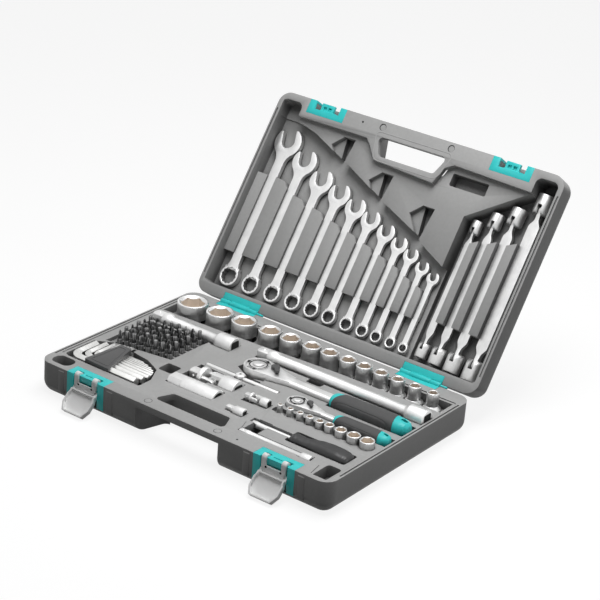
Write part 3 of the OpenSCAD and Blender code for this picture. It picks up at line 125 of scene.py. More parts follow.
class Finish:
    """A material, built node by node."""

    def __init__(self, name, **constants):
        self.material = bpy.data.materials.new(name)
        self.material.use_nodes = True
        self.tree = self.material.node_tree
        self.shader = self.tree.nodes["Principled BSDF"]
        for key, value in constants.items():
            self.feed(key.replace("_", " "), value)

    def node(self, kind, settings=None, inputs=None):
        """Adds a node and gives its first output."""
        made = self.tree.nodes.new(kind)
        for key, value in (settings or {}).items():
            setattr(made, key, value)
        for key, value in (inputs or {}).items():
            self.join(self.find(made.inputs, key), value)
        return Value(self, next(socket for socket in made.outputs if socket.enabled))

    def find(self, sockets, key):
        """The input with this number, or the one in use with this name."""
        if isinstance(key, int):
            return sockets[key]
        return next(s for s in sockets if s.name == key and s.enabled)

    def join(self, socket, value):
        """Links a value to an input, or sets the input where the value is constant."""
        if isinstance(value, Value):
            self.tree.links.new(value.socket, socket)
        else:
            socket.default_value = value

    def feed(self, name, value):
        """Gives one input of the surface shader its value."""
        self.join(self.shader.inputs[name], value)

    def place(self):
        """Where a point lies on the piece, in metres."""
        return self.node("ShaderNodeTexCoord").output("Object")

    def grain(self, size, place=None, detail=2.0):
        """Noise with cells of about this size in metres, from 0 to 1."""
        inputs = {"Vector": place or self.place(), "Scale": 1 / size, "Detail": detail}
        return self.node("ShaderNodeTexNoise", {}, inputs)

    def raise_by(self, height, distance, strength):
        """The normal of a surface that this height lifts by up to distance metres."""
        inputs = {"Height": height, "Distance": distance, "Strength": strength}
        return self.node("ShaderNodeBump", {}, inputs)


def neutral(level, blue=None):
    """A grey, whose blue may differ a little to make it warm or cold."""
    return (level, level, level if blue is None else blue, 1)


def seen(finish):
    """1 for what the camera or a reflection sees, and 0 for light on its way between things."""
    path = finish.node("ShaderNodeLightPath")
    return (path + path.output("Is Glossy Ray") + path.output("Is Transmission Ray")).least(1.0)


TABLE_GLOW = neutral(0.86)
UNDER_CASE = 0.0002
table = Finish("white_table", Roughness=0.9, Specular_IOR_Level=0.1)
look = seen(table)
table_tint = table.grain(0.4).mix(neutral(0.17), neutral(0.18))
table.feed("Base Color", look.mix(neutral(0.1), table_tint))
table.feed("Emission Color", look.mix(neutral(0), TABLE_GLOW))
table.feed("Emission Strength", 1.0)
mesh = bpy.data.meshes.new("table")
mesh.from_pydata([(-6, -5, 0), (6, -5, 0), (6, 14, 0), (-6, 14, 0)], [], [(0, 1, 2, 3)])
mesh.materials.append(table.material)
floor = bpy.data.objects.new("table", mesh)
floor.location.z = -UNDER_CASE
scene.collection.objects.link(floor)
floor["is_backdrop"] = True

# The room is white to the eye and in reflections, and gives the case only a dim, even light.
ROOM_LIGHT = neutral(0.14)
ROOM_WHITE = neutral(1)
room = bpy.data.worlds.new("room")
room.use_nodes = True
scene.world = room
path = room.node_tree.nodes.new("ShaderNodeLightPath")
shown = room.node_tree.nodes.new("ShaderNodeMath")
shown.operation = "MAXIMUM"
shade = room.node_tree.nodes.new("ShaderNodeMix")
shade.data_type = "RGBA"
colours = [socket for socket in shade.inputs if socket.type == "RGBA"]
colours[0].default_value = ROOM_LIGHT
colours[1].default_value = ROOM_WHITE
tint = next(socket for socket in shade.outputs if socket.type == "RGBA")
for start, end in ((path.outputs["Is Camera Ray"], shown.inputs[0]),
                   (path.outputs["Is Glossy Ray"], shown.inputs[1]),
                   (shown.outputs[0], shade.inputs["Factor"]),
                   (tint, room.node_tree.nodes["Background"].inputs["Color"])):
    room.node_tree.links.new(start, end)


def lamp(name, place, target, size, power):
    """A flat soft box of this size in metres, turned to face a point of the case."""
    light = bpy.data.lights.new(name, "AREA")
    light.shape = "RECTANGLE"
    light.size, light.size_y = size
    light.energy = power
    made = bpy.data.objects.new(name, light)
    made.location = place
    made.rotation_euler = (Vector(place) - Vector(target)).to_track_quat("Z", "Y").to_euler()
    scene.collection.objects.link(made)


lamp("lamp_overhead", (0.12, 0.06, 1.25), (0.0, 0.06, 0.1), (1.0, 0.56), 12.0)
lamp("lamp_right", (1.6, 0.5, 0.9), (0.0, 0.1, 0.1), (0.9, 0.9), 4.0)


# ---------- case halves ----------
# Two blow-moulded halves of grey polyethylene. The mould's fine spark grain shows on every
# face; the upright walls are darker with painted shade, the edges are soft and the recesses
# are darkened with painted shade.
SHARP_TURN = math.radians(35)
BEVEL_TURN = math.radians(34)
FLAT_TURN = math.radians(0.4)
SAME_POINT = 1e-6


def smooth_edges():
    """Geometry nodes that keep an edge sharp only where its faces turn by more than SHARP_TURN."""
    group = bpy.data.node_groups.new("smooth_edges", "GeometryNodeTree")
    group.interface.new_socket("Geometry", in_out="INPUT", socket_type="NodeSocketGeometry")
    group.interface.new_socket("Geometry", in_out="OUTPUT", socket_type="NodeSocketGeometry")
    start = group.nodes.new("NodeGroupInput")
    end = group.nodes.new("NodeGroupOutput")
    faces = group.nodes.new("GeometryNodeSetShadeSmooth")
    edges = group.nodes.new("GeometryNodeSetShadeSmooth")
    edges.domain = "EDGE"
    angle = group.nodes.new("GeometryNodeInputMeshEdgeAngle")
    gentle = group.nodes.new("FunctionNodeCompare")
    gentle.data_type = "FLOAT"
    gentle.operation = "LESS_THAN"
    gentle.inputs["B"].default_value = SHARP_TURN
    links = group.links
    links.new(start.outputs[0], faces.inputs["Geometry"])
    links.new(faces.outputs[0], edges.inputs["Geometry"])
    links.new(angle.outputs["Unsigned Angle"], gentle.inputs["A"])
    links.new(gentle.outputs[0], edges.inputs["Shade Smooth"])
    links.new(edges.outputs[0], end.inputs[0])
    return group


smoothing = smooth_edges()


def ease(piece, width, segments):
    """Rounds a piece's sharp edges to this width in metres."""
    weld = piece.modifiers.new("weld", "WELD")
    weld.merge_threshold = SAME_POINT
    flats = piece.modifiers.new("flats", "DECIMATE")
    flats.decimate_type = "DISSOLVE"
    flats.angle_limit = FLAT_TURN
    edge = piece.modifiers.new("edge", "BEVEL")
    edge.width = width
    edge.segments = segments
    edge.limit_method = "ANGLE"
    edge.angle_limit = BEVEL_TURN
    edge.use_clamp_overlap = True
    soft = piece.modifiers.new("smooth", "NODES")
    soft.node_group = smoothing


def dress(name, finish, width=0.0003, segments=2):
    """Gives a solid from the frame its finish and its eased edges."""
    piece = nodes[name]
    piece.data.materials.clear()
    piece.data.materials.append(finish.material)
    if "custom_normal" in piece.data.attributes:
        piece.data.attributes.remove(piece.data.attributes["custom_normal"])
    ease(piece, width, segments)


# How far the painted shade in the case's recesses reaches, in metres.
SHADE_REACH = 0.04
CASE_EDGE = 0.0008
grey = Finish("grained_grey_plastic", Specular_IOR_Level=0.35)
cloud = grey.grain(0.12, detail=3.0)
fine = grey.grain(0.0006, detail=1.0)
tone = grey.grain(0.004, detail=4.0)
pale = (cloud * 0.5 + tone * 0.3 + fine * 0.2).step(0.3, 0.7)
open_sky = grey.node("ShaderNodeAmbientOcclusion", {"samples": 8}, {"Distance": SHADE_REACH})
open_sky = open_sky.output("AO")
moulded = pale.mix(neutral(0.375, 0.372), neutral(0.435, 0.432))
# Painted shade: upright walls take this darker tone, and faces that look up or down keep the moulded
# one.
painted_wall_shade = pale.mix(neutral(0.2, 0.199), neutral(0.24, 0.239))
facing = grey.node("ShaderNodeTexCoord").output("Normal")
facing = grey.node("ShaderNodeSeparateXYZ", {}, {"Vector": facing}).output("Z")
skin = abs(facing).step(0.2, 0.5).mix(painted_wall_shade, moulded)
# Painted shade: where ambient occlusion finds recesses, creases and gaps, the colour darkens towards
# near black.
grey.feed("Base Color", open_sky.step(0.05, 0.78).mix(neutral(0.06), skin))
grey.feed("Roughness", 0.5 + tone * 0.16)
grey.feed("Normal", grey.raise_by(fine, 0.00006, 0.6))
dress("base_case", grey, CASE_EDGE)
dress("lid_case", grey, CASE_EDGE)


# ---------- hinges and catches ----------
# Teal moulded frames round the latches, catches on the lid's rim and the leaves of the hinges.
# The plastic has a low sheen and a faint mottle from its flow.
def plastic(name, gloss, mottle, tints, rough, pits, deep, strength=0.5):
    """Moulded plastic. Its mottle is a cell size and a detail, its tints a dark and a light one,
    rough its least roughness and the spread of it; pits of this size are this deep."""
    made = Finish(name, Specular_IOR_Level=gloss)
    size, detail = mottle
    cloud = made.grain(size, detail=detail)
    made.feed("Base Color", cloud.mix(*tints))
    made.feed("Roughness", rough[0] + cloud * rough[1])
    made.feed("Normal", made.raise_by(made.grain(pits), deep, strength))
    return made


teal = plastic("teal_plastic", 0.4, (0.01, 3.0), ((0.03, 0.6, 0.6, 1), (0.045, 0.7, 0.69, 1)),
               (0.34, 0.14), 0.0008, 0.00003)
dress("base_fittings", teal)
dress("lid_fittings", teal)


# ---------- latches ----------
# Two pale levers with their hooked links, which hang open at the front. They are moulded in a
# milky plastic that is a little glossier than the case.
milky = plastic("pale_grey_plastic", 0.45, (0.02, 3.0), (neutral(0.83), neutral(0.89, 0.885)),
                (0.36, 0.12), 0.0007, 0.00003)
for side in ("left", "right"):
    dress(f"latch_link_{side}", milky)
    dress(f"latch_lever_{side}", milky)


# ---------- combination wrenches ----------
# Eleven forged chrome-vanadium wrenches: a flat bar with a twelve-point ring at its foot and
# an open end that leans to one side. They are blasted to an even satin before plating. The
# tools' lengths are in millimetres, and MM turns them into metres.
MM = 0.001
LID_OPENS = 124.6
LEAN = math.radians(180 - LID_OPENS)
UP_LID = Vector((0, math.cos(LEAN), math.sin(LEAN)))
ACROSS = Vector((1, 0, 0))
HINGE_Y, HINGE_Z = 141, 41.2
LINE_STRETCH = 0.93
JAW_LEAN = 14
WRENCH_BED = -19.2
HEXAGON_CORNER = 0.577


def on_lid(x, y, z):
    """A point in millimetres across, up and out of the open lid, from its hinge line."""
    return Vector((x, HINGE_Y + y * math.cos(LEAN) - z * math.sin(LEAN),
                   HINGE_Z + y * math.sin(LEAN) + z * math.cos(LEAN))) * MM


def turns(count):
    """The angles that divide a full turn into this many steps."""
    return [2 * math.pi * j / count for j in range(count)]


def satin(name, dark, light, rough, along):
    """Blasted chrome plate, its faint lines drawn out along one direction."""
    made = Finish(name, Metallic=1.0)
    place = made.place()
    run = made.node("ShaderNodeVectorMath", {"operation": "DOT_PRODUCT"}, {0: place, 1: along})
    push = made.node("ShaderNodeVectorMath", {"operation": "SCALE"},
                     {0: tuple(along), "Scale": run * -LINE_STRETCH})
    drawn = made.node("ShaderNodeVectorMath", {"operation": "ADD"}, {0: place, 1: push})
    lines = made.grain(0.0009, drawn)
    haze = made.grain(0.011, place, 3.0)
    blast = made.grain(0.0004, place, 0.0)
    plate_tint = (haze * 0.6 + lines * 0.4).step(0.3, 0.7).mix(dark, light)
    # Painted shade: the plate darkens towards near black in crevices and where parts lie close,
    # found by ambient occlusion.
    crevice_shade = made.node("ShaderNodeAmbientOcclusion", {"samples": 6}, {"Distance": 0.004})
    crevice_shade = crevice_shade.output("AO").step(0.1, 0.75)
    made.feed("Base Color", crevice_shade.mix(neutral(0.08), plate_tint))
    made.feed("Roughness", haze * 0.08 + lines * 0.06 + rough)
    made.feed("Normal", made.raise_by(lines * 0.4 + blast * 0.6, 0.00001, 0.5))
    return made


def solid(name, points, faces):
    """A loose mesh object whose faces all look outwards."""
    mesh = bpy.data.meshes.new(name)
    mesh.from_pydata([tuple(p) for p in points], [], faces)
    work = bmesh.new()
    work.from_mesh(mesh)
    bmesh.ops.recalc_face_normals(work, faces=work.faces)
    work.to_mesh(mesh)
    work.free()
    made = bpy.data.objects.new(name, mesh)
    scene.collection.objects.link(made)
    return made


def build(name, skin, finishes, body, stands_for=(), turn=32):
    """One mesh piece that rides on a body. Its skin is points, faces and each face's finish;
    an edge stays sharp where it turns by more than turn degrees."""
    points, faces, places = skin
    made = solid(name, points, faces)
    for finish in finishes:
        made.data.materials.append(finish.material)
    for polygon, place in zip(made.data.polygons, places):
        polygon.material_index = place
    made.data.shade_smooth()
    made.data.set_sharp_from_angle(angle=math.radians(turn))
    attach(made, body)
    if stands_for:
        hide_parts(*stands_for)
    return made


def loft(rings, bands=None, closed=False):
    """Points, faces and each face's band for a skin over rings of equal length. Its two ends
    are capped, or joined to each other where the skin is closed into a loop."""
    count = len(rings[0])
    bands = bands or [0] * len(rings)
    points = [p for ring in rings for p in ring]
    faces = []
    places = []
    for i in range(len(rings) - (0 if closed else 1)):
        after = (i + 1) % len(rings)
        for j in range(count):
            k = (j + 1) % count
            faces.append((i * count + j, i * count + k, after * count + k, after * count + j))
            places.append(bands[i])
    if not closed:
        last = (len(rings) - 1) * count
        faces += [tuple(range(count)), tuple(range(last, last + count))]
        places += [bands[0], bands[-1]]
    return points, faces, places


def joined(skins):
    """Several skins as one."""
    points, faces, places = [], [], []
    for more, skin, bands in skins:
        faces += [tuple(i + len(points) for i in face) for face in skin]
        points += more
        places += bands
    return points, faces, places


def hexagon_reach(size, angle):
    """How far a hexagon's edge is from its middle; size is over its flats."""
    return size / 2 / math.cos((angle % (math.pi / 3)) - math.pi / 6)


def soft_section(wide, thick, soft):
    """Half a bar's width and thickness as a ring of points with rounded corners."""
    ring = []
    steps = 5
    for corner in range(4):
        cx = (wide - soft) * (1 if corner in (0, 3) else -1)
        cz = (thick - soft) * (1 if corner in (0, 1) else -1)
        for k in range(steps + 1):
            angle = math.pi / 2 * (corner + k / steps)
            ring.append((cx + soft * math.cos(angle), cz + soft * math.sin(angle)))
    return ring


def bar_loft(stations, place):
    """A forged bar up the lid. Each station is a height, half a width, half a thickness and the
    softness of the corners."""
    x, y, z = place
    return loft([[on_lid(x + dx, y + up, z + dz) for dx, dz in soft_section(wide, thick, soft)]
                 for up, wide, thick, soft in stations])


def plate(outline, thick, soft, place):
    """A flat forging with this outline, its edges rounded."""
    x, y, z = place
    work = bmesh.new()
    face = work.faces.new([work.verts.new((px, py, -thick / 2)) for px, py in outline])
    grown = bmesh.ops.extrude_face_region(work, geom=[face])["geom"]
    top = [v for v in grown if isinstance(v, bmesh.types.BMVert)]
    bmesh.ops.translate(work, verts=top, vec=(0, 0, thick))
    rims = [e for e in work.edges if abs(e.verts[0].co.z - e.verts[1].co.z) < SAME_POINT]
    bmesh.ops.bevel(work, geom=rims, offset=soft, segments=2, affect="EDGES", profile=0.5)
    work.verts.index_update()
    points = [on_lid(x + v.co.x, y + v.co.y, z + v.co.z) for v in work.verts]
    faces = [tuple(v.index for v in f.verts) for f in work.faces]
    work.free()
    return points, faces, [0] * len(faces)


def jaw_outline(size, reach):
    """The open end: a round head with a U-shaped throat and pointed jaws."""
    turn = math.radians(JAW_LEAN)
    tip = 0.8 * size
    side = math.atan2(tip, math.sqrt(reach * reach - tip * tip))
    outline = []
    head_steps, throat_steps = 60, 24
    for k in range(head_steps + 1):
        angle = side - (2 * side + math.pi) * k / head_steps
        outline.append((reach * math.cos(angle), reach * math.sin(angle)))
    outline.append((-size / 2, tip))
    for k in range(throat_steps + 1):
        angle = math.pi + math.pi * k / throat_steps
        outline.append((size / 2 * math.cos(angle), size * 0.06 + size * 0.47 * math.sin(angle)))
    outline.append((size / 2, tip))
    return [(px * math.cos(turn) - py * math.sin(turn), px * math.sin(turn) + py * math.cos(turn))
            for px, py in outline]


def star_reach(size, angle):
    """How far a twelve-point ring's edge is from its middle."""
    return max(hexagon_reach(size, angle), hexagon_reach(size, angle + math.pi / 6))


def flare(radius, blend, wide, far):
    """Where a bar's side runs into a round end: distances from its middle, and half-widths."""
    start = math.sqrt((radius + blend) ** 2 - (wide + blend) ** 2)
    near = start * radius / (radius + blend)
    rows = []
    steps = 8
    for k in range(steps + 1):
        at = start + (near - start) * k / steps
        rows.append((at, wide + blend - math.sqrt(max(0.0, blend ** 2 - (start - at) ** 2))))
    return rows + [(far, rows[-1][1])]


wrench_plate = satin("wrench_chrome", neutral(0.68), neutral(0.77, 0.765), 0.36, UP_LID)
ring_bore = satin("ring_bore_chrome", neutral(0.3), neutral(0.42), 0.4, ACROSS)


def wrench(size, span, x):
    """One combination wrench; span is the distance between its two ends' middles."""
    name = f"wrench_{size}"
    y, z = 21 + 0.66 * size + 0.7, WRENCH_BED
    ring = 0.66 * size + 1.1
    head = 1.03 * size
    wide = 0.29 * size + 1.2
    thick = 0.115 * size + 1.15
    soft = 0.5
    stations = []
    for at, side in reversed(flare(ring, size * 1.1, wide, HEXAGON_CORNER * size + 0.8)):
        stations.append((at, side, thick, soft))
    for at, side in flare(head, size, wide, head * 0.72):
        stations.append((span - at, side, thick * 1.05, soft))
    bar = bar_loft(stations, (x, y, z + 0.015 * size + 0.15))
    jaws = plate(jaw_outline(size, head), 0.28 * size + 2, 0.022 * size, (x, y + span, z))
    half = 0.2 * size + 1
    rings = []
    for radius, up in ((ring - 1.1, -half), (ring - 0.3, 0.35 - half), (ring, 1.2 - half),
                       (ring, half - 1.2), (ring - 0.3, half - 0.35), (ring - 1.1, half),
                       (HEXAGON_CORNER * size + 0.75, half)):
        rings.append([on_lid(x + radius * math.cos(a), y + radius * math.sin(a), z + up)
                      for a in turns(72)])
    for gain, up in ((1.03, half - 0.35), (1.0, half - 0.8), (1.0, 0.6 - half), (1.04, -half)):
        rings.append([on_lid(x + gain * star_reach(size, a) * math.cos(a),
                             y + gain * star_reach(size, a) * math.sin(a), z + up)
                      for a in turns(72)])
    rim_and_bore = [0] * 7 + [1, 1, 1, 0]
    skin = joined((bar, jaws, loft(rings, rim_and_bore, True)))
    build(name + "_forging", skin, (wrench_plate, ring_bore), name, (name,))


# Each wrench's size, the distance between its ends and the space to the next one.
WRENCHES = [(19, 186, 9.8), (17, 170, 11.3), (16, 154, 10.6), (15, 146, 9), (14, 137, 7.8),
            (13, 130, 9.1), (12, 122, 7.4), (11, 114, 5.7), (10, 107, 7.1), (9, 98, 6.4),
            (8, 91, 0)]
FIRST_WRENCH_EDGE = -194.74
x = FIRST_WRENCH_EDGE
for size, span, space in WRENCHES:
    reach = 0.66 * size + 0.7
    x += reach
    wrench(size, span, x)
    x += reach + space


# ---------- flex-head wrenches ----------
# Flat bars that narrow to an upright tongue at each end, pinned in the fork of a six-point
# socket head. They have the wrenches' plate; the heads are turned, so their lines run round.
flex_plate = satin("flex_bar_chrome", neutral(0.6), neutral(0.7, 0.695), 0.34, UP_LID)
flex_socket = satin("flex_socket_chrome", neutral(0.56), neutral(0.66, 0.655), 0.34, ACROSS)
FLEX_FOOT = 38
FLEX_BED = -23.2
TAPER = 11
WIDEST_HEAD = 11
PIN = 1.3


def bar_end(size, width, thick):
    """Half a flex bar from its pin: distances up it, half-widths and half-thicknesses."""
    tongue = 0.17 * size
    tip = 0.3 * size + 1
    neck = 0.6 * size + 3.5
    end = []
    for angle in (12, 30, 50, 70, 90):
        a = math.radians(angle)
        end.append((-tip * math.cos(a), tongue, max(0.4, tip * math.sin(a))))
    end += [(tip * 0.7, tongue, tip * 0.9), (neck, tongue * 1.15, thick * 1.15)]
    steps = 6
    for k in range(1, steps + 1):
        rise = k / steps
        grow = rise * rise * (3 - 2 * rise)
        end.append((neck + TAPER * rise, tongue * 1.15 + (width / 2 - tongue * 1.15) * grow,
                    thick * (1.15 - 0.15 * rise)))
    return end


def flex_head(size, x, y, sign):
    """A six-point socket with a forked tail and its pin; sign is the way up the lid it looks."""
    radius = min((0.6 * size + 1) * 1.2, WIDEST_HEAD)
    tail = 0.3 * size + 2
    slot = 0.3 * size + 1.5
    reach = 0.98 * size + 5.5
    gap = 0.17 * size + 0.35
    rings = []
    for r, at in ((radius, slot), (radius, reach - 0.9), (radius - 0.3, reach - 0.3),
                  (radius - 0.9, reach), (HEXAGON_CORNER * size + 0.3, reach)):
        rings.append([(r * math.cos(a), at, r * math.sin(a)) for a in turns(48)])
    for at in (reach - 0.8, slot + 2):
        rings.append([(hexagon_reach(size, a) * math.cos(a), at,
                       hexagon_reach(size, a) * math.sin(a)) for a in turns(48)])
    shapes = [loft(rings, [0, 0, 0, 0, 0, 1, 1])]
    open_at = math.acos(gap / radius)
    half_arc = 8
    for side in (-1, 1):
        rings = []
        for at in (slot, 0.0, -tail * 0.35, -tail * 0.65, -tail * 0.88, -tail):
            limit = math.sqrt(max(0.0, 1 - (max(0.0, -at) / tail / 1.02) ** 2)) * 0.82 + 0.18
            shrink = 1.0 if at > -tail * 0.8 else 0.94
            ring = []
            for k in range(-half_arc, half_arc + 1):
                a = open_at * k / half_arc
                ring.append((side * max(gap, radius * shrink * math.cos(a)), at,
                             radius * math.sin(a) * limit))
            rings.append(ring)
        shapes.append(loft(rings))
    pin = math.sqrt(radius ** 2 - 1.7) - 0.1
    shapes.append(loft([[(dx, PIN * k * math.cos(a), PIN * k * math.sin(a)) for a in turns(16)]
                        for dx, k in ((-pin, 0.8), (-pin + 0.3, 1), (pin - 0.3, 1), (pin, 0.8))]))
    points, faces, places = joined(shapes)
    points = [on_lid(x + a, y + sign * b, FLEX_BED + c) for a, b, c in points]
    name = f"flex_head_{size}"
    build(name + "_turning", (points, faces, places), (flex_socket, ring_bore), name, (name,))


def flex_wrench(low_size, high_size, span, x, width):
    """A bar and its two heads; span is the distance between their pins."""
    thick = (low_size + high_size) * 0.06 + 1.3
    stations = []
    for size, sign, base in ((low_size, 1, 0), (high_size, -1, span)):
        part = [(base + sign * at, wide, high, min(0.5, wide * 0.45, high * 0.45))
                for at, wide, high in bar_end(size, width, thick)]
        stations += part if sign > 0 else part[::-1]
    name = f"flex_bar_{high_size}_{low_size}"
    build(name + "_forging", bar_loft(stations, (x, FLEX_FOOT, FLEX_BED)), (flex_plate,), name,
          (name,))
    flex_head(low_size, x, FLEX_FOOT, -1)
    flex_head(high_size, x, FLEX_FOOT + span, 1)


flex_wrench(9, 8, 151, 112.5, 9.6)
flex_wrench(11, 10, 165, 134, 10.8)
flex_wrench(13, 12, 177, 157.5, 13.0)
flex_wrench(15, 14, 200, 184, 14.8)


# ---------- pegs, ribs and beads of the case ----------
# Details of the same mouldings: two pegs on the base's front rim with their sockets in the lid,
# a pin hole in each half, shallow upright ribs beside the latches, two holes in each latch and
# the raised bead round the lid's hand opening. The holes, the sockets and the gaps round the
# pegs are dark discs of painted shade.
# A near-black finish of painted shade, for the discs that stand in holes, gaps and mouths.
shadow = Finish("painted_hollow_shade", Specular_IOR_Level=0.15)
depth = shadow.grain(0.002, detail=2.0)
shadow.feed("Base Color", depth.mix(neutral(0.012), neutral(0.024)))
shadow.feed("Roughness", 0.6 + depth * 0.2)


def disc(name, middle, outward, profile, finish, body, count=32):
    """A turned button: profile lists (radius, height) in millimetres along outward."""
    first = outward.orthogonal().normalized()
    second = outward.cross(first)
    rings = []
    for radius, high in profile:
        rings.append([Vector(middle) + (outward * high + first * radius * math.cos(a)
                                        + second * radius * math.sin(a)) * MM
                      for a in turns(count)])
    build(name, loft(rings), (finish,), body)


def shade_dot(name, middle, outward, radius, body, high=0.05, deep=0.4):
    """A small disc in the near-black painted-shade finish, standing for a round hole or a screw."""
    disc(name, middle, outward, [(radius, -deep), (radius, high)], shadow, body, 16)


def rounded(corners, radius, steps=6):
    """A closed path through these points, its corners rounded."""
    path = []
    for i, corner in enumerate(corners):
        back = (corners[i - 1] - corner).normalized() * radius
        ahead = (corners[(i + 1) % len(corners)] - corner).normalized() * radius
        for k in range(steps + 1):
            t = k / steps
            path.append(corner + back * (1 - t) ** 2 + ahead * t ** 2)
    return path


def bead(name, path, wide, high, outward, finish, body):
    """A raised bead of this half-width and height along a closed path."""
    rings = []
    for i, point in enumerate(path):
        along = (path[(i + 1) % len(path)] - path[i - 1]).normalized()
        side = along.cross(outward).normalized()
        rings.append([point + side * wide * math.cos(a) + outward * high * max(-0.4, math.sin(a))
                      for a in turns(12)])
    build(name, loft(rings, None, True), (finish,), body, turn=60)


OUT_OF_LID = Vector((0, -math.sin(LEAN), math.cos(LEAN)))
UP = Vector((0, 0, 1))
FRONT = Vector((0, -1, 0))
RIM = 41
LID_RIM = -0.2
FRONT_WALL = -139
PEG_X = 50.5
LATCH_X = 136.8
SIDES = (("left", -1), ("right", 1))
# Painted shade: a dark ring round each peg, and a dark disc in each of the lid's sockets under its
# grey plug.
for place, side in SIDES:
    spot = Vector((side * PEG_X, -128.7, RIM)) * MM
    disc(f"base_peg_{place}", spot, UP, [(4.3, -0.4), (4.3, 0.06), (4.0, 0.18)], grey, "base")
    disc(f"base_peg_gap_{place}", spot, UP, [(4.8, -0.4), (4.8, 0.03)], shadow, "base")
    disc(f"lid_peg_socket_{place}", on_lid(side * PEG_X, 272.3, LID_RIM), OUT_OF_LID,
         [(4.6, -0.4), (4.6, 0.04)], shadow, "lid")
    disc(f"lid_peg_plug_{place}", on_lid(side * PEG_X + 0.5, 271.8, LID_RIM), OUT_OF_LID,
         [(3.9, -0.3), (3.9, 0.08)], grey, "lid")
# Painted shade: dark discs stand in the two pin holes.
shade_dot("base_pin_hole", Vector((78, -128.8, RIM)) * MM, UP, 1.3, "base", high=0.04)
shade_dot("lid_pin_hole", on_lid(-80.5, 271.2, LID_RIM), OUT_OF_LID, 1.3, "lid", high=0.04)

for number, x in enumerate((-174, -99.5, 99.5, 174)):
    rings = []
    for z, out in ((9, -0.3), (10, 0.5), (11, 0.7), (36.5, 0.7), (37.2, 0.5), (38, -0.3)):
        rings.append([((x + dx) * MM, (FRONT_WALL - dy) * MM, z * MM)
                      for dx, dy in ((-4.6, -0.4), (-4.2, out * 0.6), (-3.8, out), (3.8, out),
                                     (4.2, out * 0.6), (4.6, -0.4))])
    build(f"front_rib_{number + 1}", loft(rings), (grey,), "base", turn=60)

# Painted shade: dark discs stand in the two holes of each latch link.
latch_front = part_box("latch_link_left")[0][1]
for place, side in SIDES:
    for number, dx in enumerate((-10, 10)):
        spot = ((side * LATCH_X + dx) * MM, latch_front, 30.5 * MM)
        shade_dot(f"latch_hole_{place}_{number + 1}", spot, FRONT, 1.35, f"latch_link_{place}")

hand = [on_lid(x, y, LID_RIM) for x, y in ((-57, 266), (57, 266), (47, 230), (-47, 230))]
bead("lid_hand_bead", rounded(hand, 9 * MM), 0.8 * MM, 0.18 * MM, OUT_OF_LID, grey, "lid")


# ---------- sockets ----------
# Six-point sockets, turned from bar and broached. Their walls keep a satin plate, the top rim
# is ground bright, and the broached hexagon inside is browner and duller.
socket_wall = satin("socket_chrome", neutral(0.6), neutral(0.7, 0.695), 0.36, UP)
socket_rim = Finish("ground_rim", Metallic=1.0)
glint = socket_rim.grain(0.001, detail=2.0)
socket_rim.feed("Base Color", glint.mix(neutral(0.74, 0.735), neutral(0.86, 0.855)))
socket_rim.feed("Roughness", 0.2 + glint * 0.12)
socket_bore = Finish("broached_bore", Metallic=0.6)
scored = socket_bore.grain(0.0012, detail=3.0)
socket_bore.feed("Base Color", scored.mix((0.74, 0.67, 0.6, 1), (0.9, 0.83, 0.75, 1)))
socket_bore.feed("Roughness", 0.3 + scored * 0.2)
HEXAGON_TURN = math.radians(37)
ROUND = 48


def socket(name, node, place, size, width, drive_width, height, drive):
    """A socket with its hexagon up: a lathe skin, over the rim and down the broached hole."""
    x, y, top = place
    wide = width / 2
    neck = drive_width / 2
    rise = min(4, abs(wide - neck)) + 0.2
    shoulder = -height * 0.54
    groove = -height * 0.3
    deep = -height * 0.42
    lip = max(size / 2 / math.cos(math.pi / 6) + 0.1, wide - 1.5 - 0.02 * size)
    pilot = min(size, drive) * 0.45
    circle = [(neck - 1.2, -height), (neck - 0.4, -height + 0.2), (neck, -height + 0.8),
              (neck, shoulder), (wide, shoulder + rise), (wide, groove),
              (wide - 0.12, groove - 0.15), (wide - 0.12, groove + 1.1), (wide, groove + 1.3),
              (wide, -0.9), (wide - 0.12, -0.4), (wide - 0.4, -0.1), (wide - 0.6, 0), (lip, 0)]
    rings = [[(radius, z)] * ROUND for radius, z in circle]
    reaches = [hexagon_reach(size, a - HEXAGON_TURN) for a in turns(ROUND)]
    rings.append([(r, -0.15 - (lip - r) * 0.7) for r in reaches])
    rings.append([(r, deep) for r in reaches])
    rings.append([(pilot, deep)] * ROUND)
    rings.append([(pilot, -height * 0.62)] * ROUND)
    wall_rim_and_bore = [0] * 10 + [1] * 3 + [0] + [2] * 4
    placed = []
    for ring in rings:
        placed.append([((x + r * math.cos(a)) * MM, (y + r * math.sin(a)) * MM, (top + z) * MM)
                       for (r, z), a in zip(ring, turns(ROUND))])
    build(name, loft(placed, wall_rim_and_bore), (socket_wall, socket_rim, socket_bore), node,
          (node,))


# Each socket's size and the space to the next one.
HALF_INCH = [(27, 5.3), (24, 3.8), (22, 8.4), (20, 2.2), (18, 5.8), (16, 2.8), (15, 4.8),
             (14, 1.2), (13, 2), (12, 2), (11, 2), (10, 3), (9, 0)]
QUARTER_INCH = [(4, 2.4), (5, 1.8), (5.5, 1.6), (6, 2), (7, 1), (8, 3), (10, 2.6), (12, 1.6),
                (13, 0)]
FIRST_HALF_INCH_EDGE, FIRST_QUARTER_INCH_EDGE = -191.325, 62
HALF_INCH_DRIVE, QUARTER_INCH_DRIVE = 12.7, 6.35
x, back, drive_width = FIRST_HALF_INCH_EDGE, 112, 22
for size, space in HALF_INCH:
    width = 1.35 * size + 2.2
    reach = max(width, drive_width) / 2
    x += reach
    socket(f"half_inch_socket_{size}", "sockets_half_inch", (x, back - reach, RIM + 12), size,
           width, drive_width, max(38, 0.62 * size + 27.3), HALF_INCH_DRIVE)
    x += reach + space

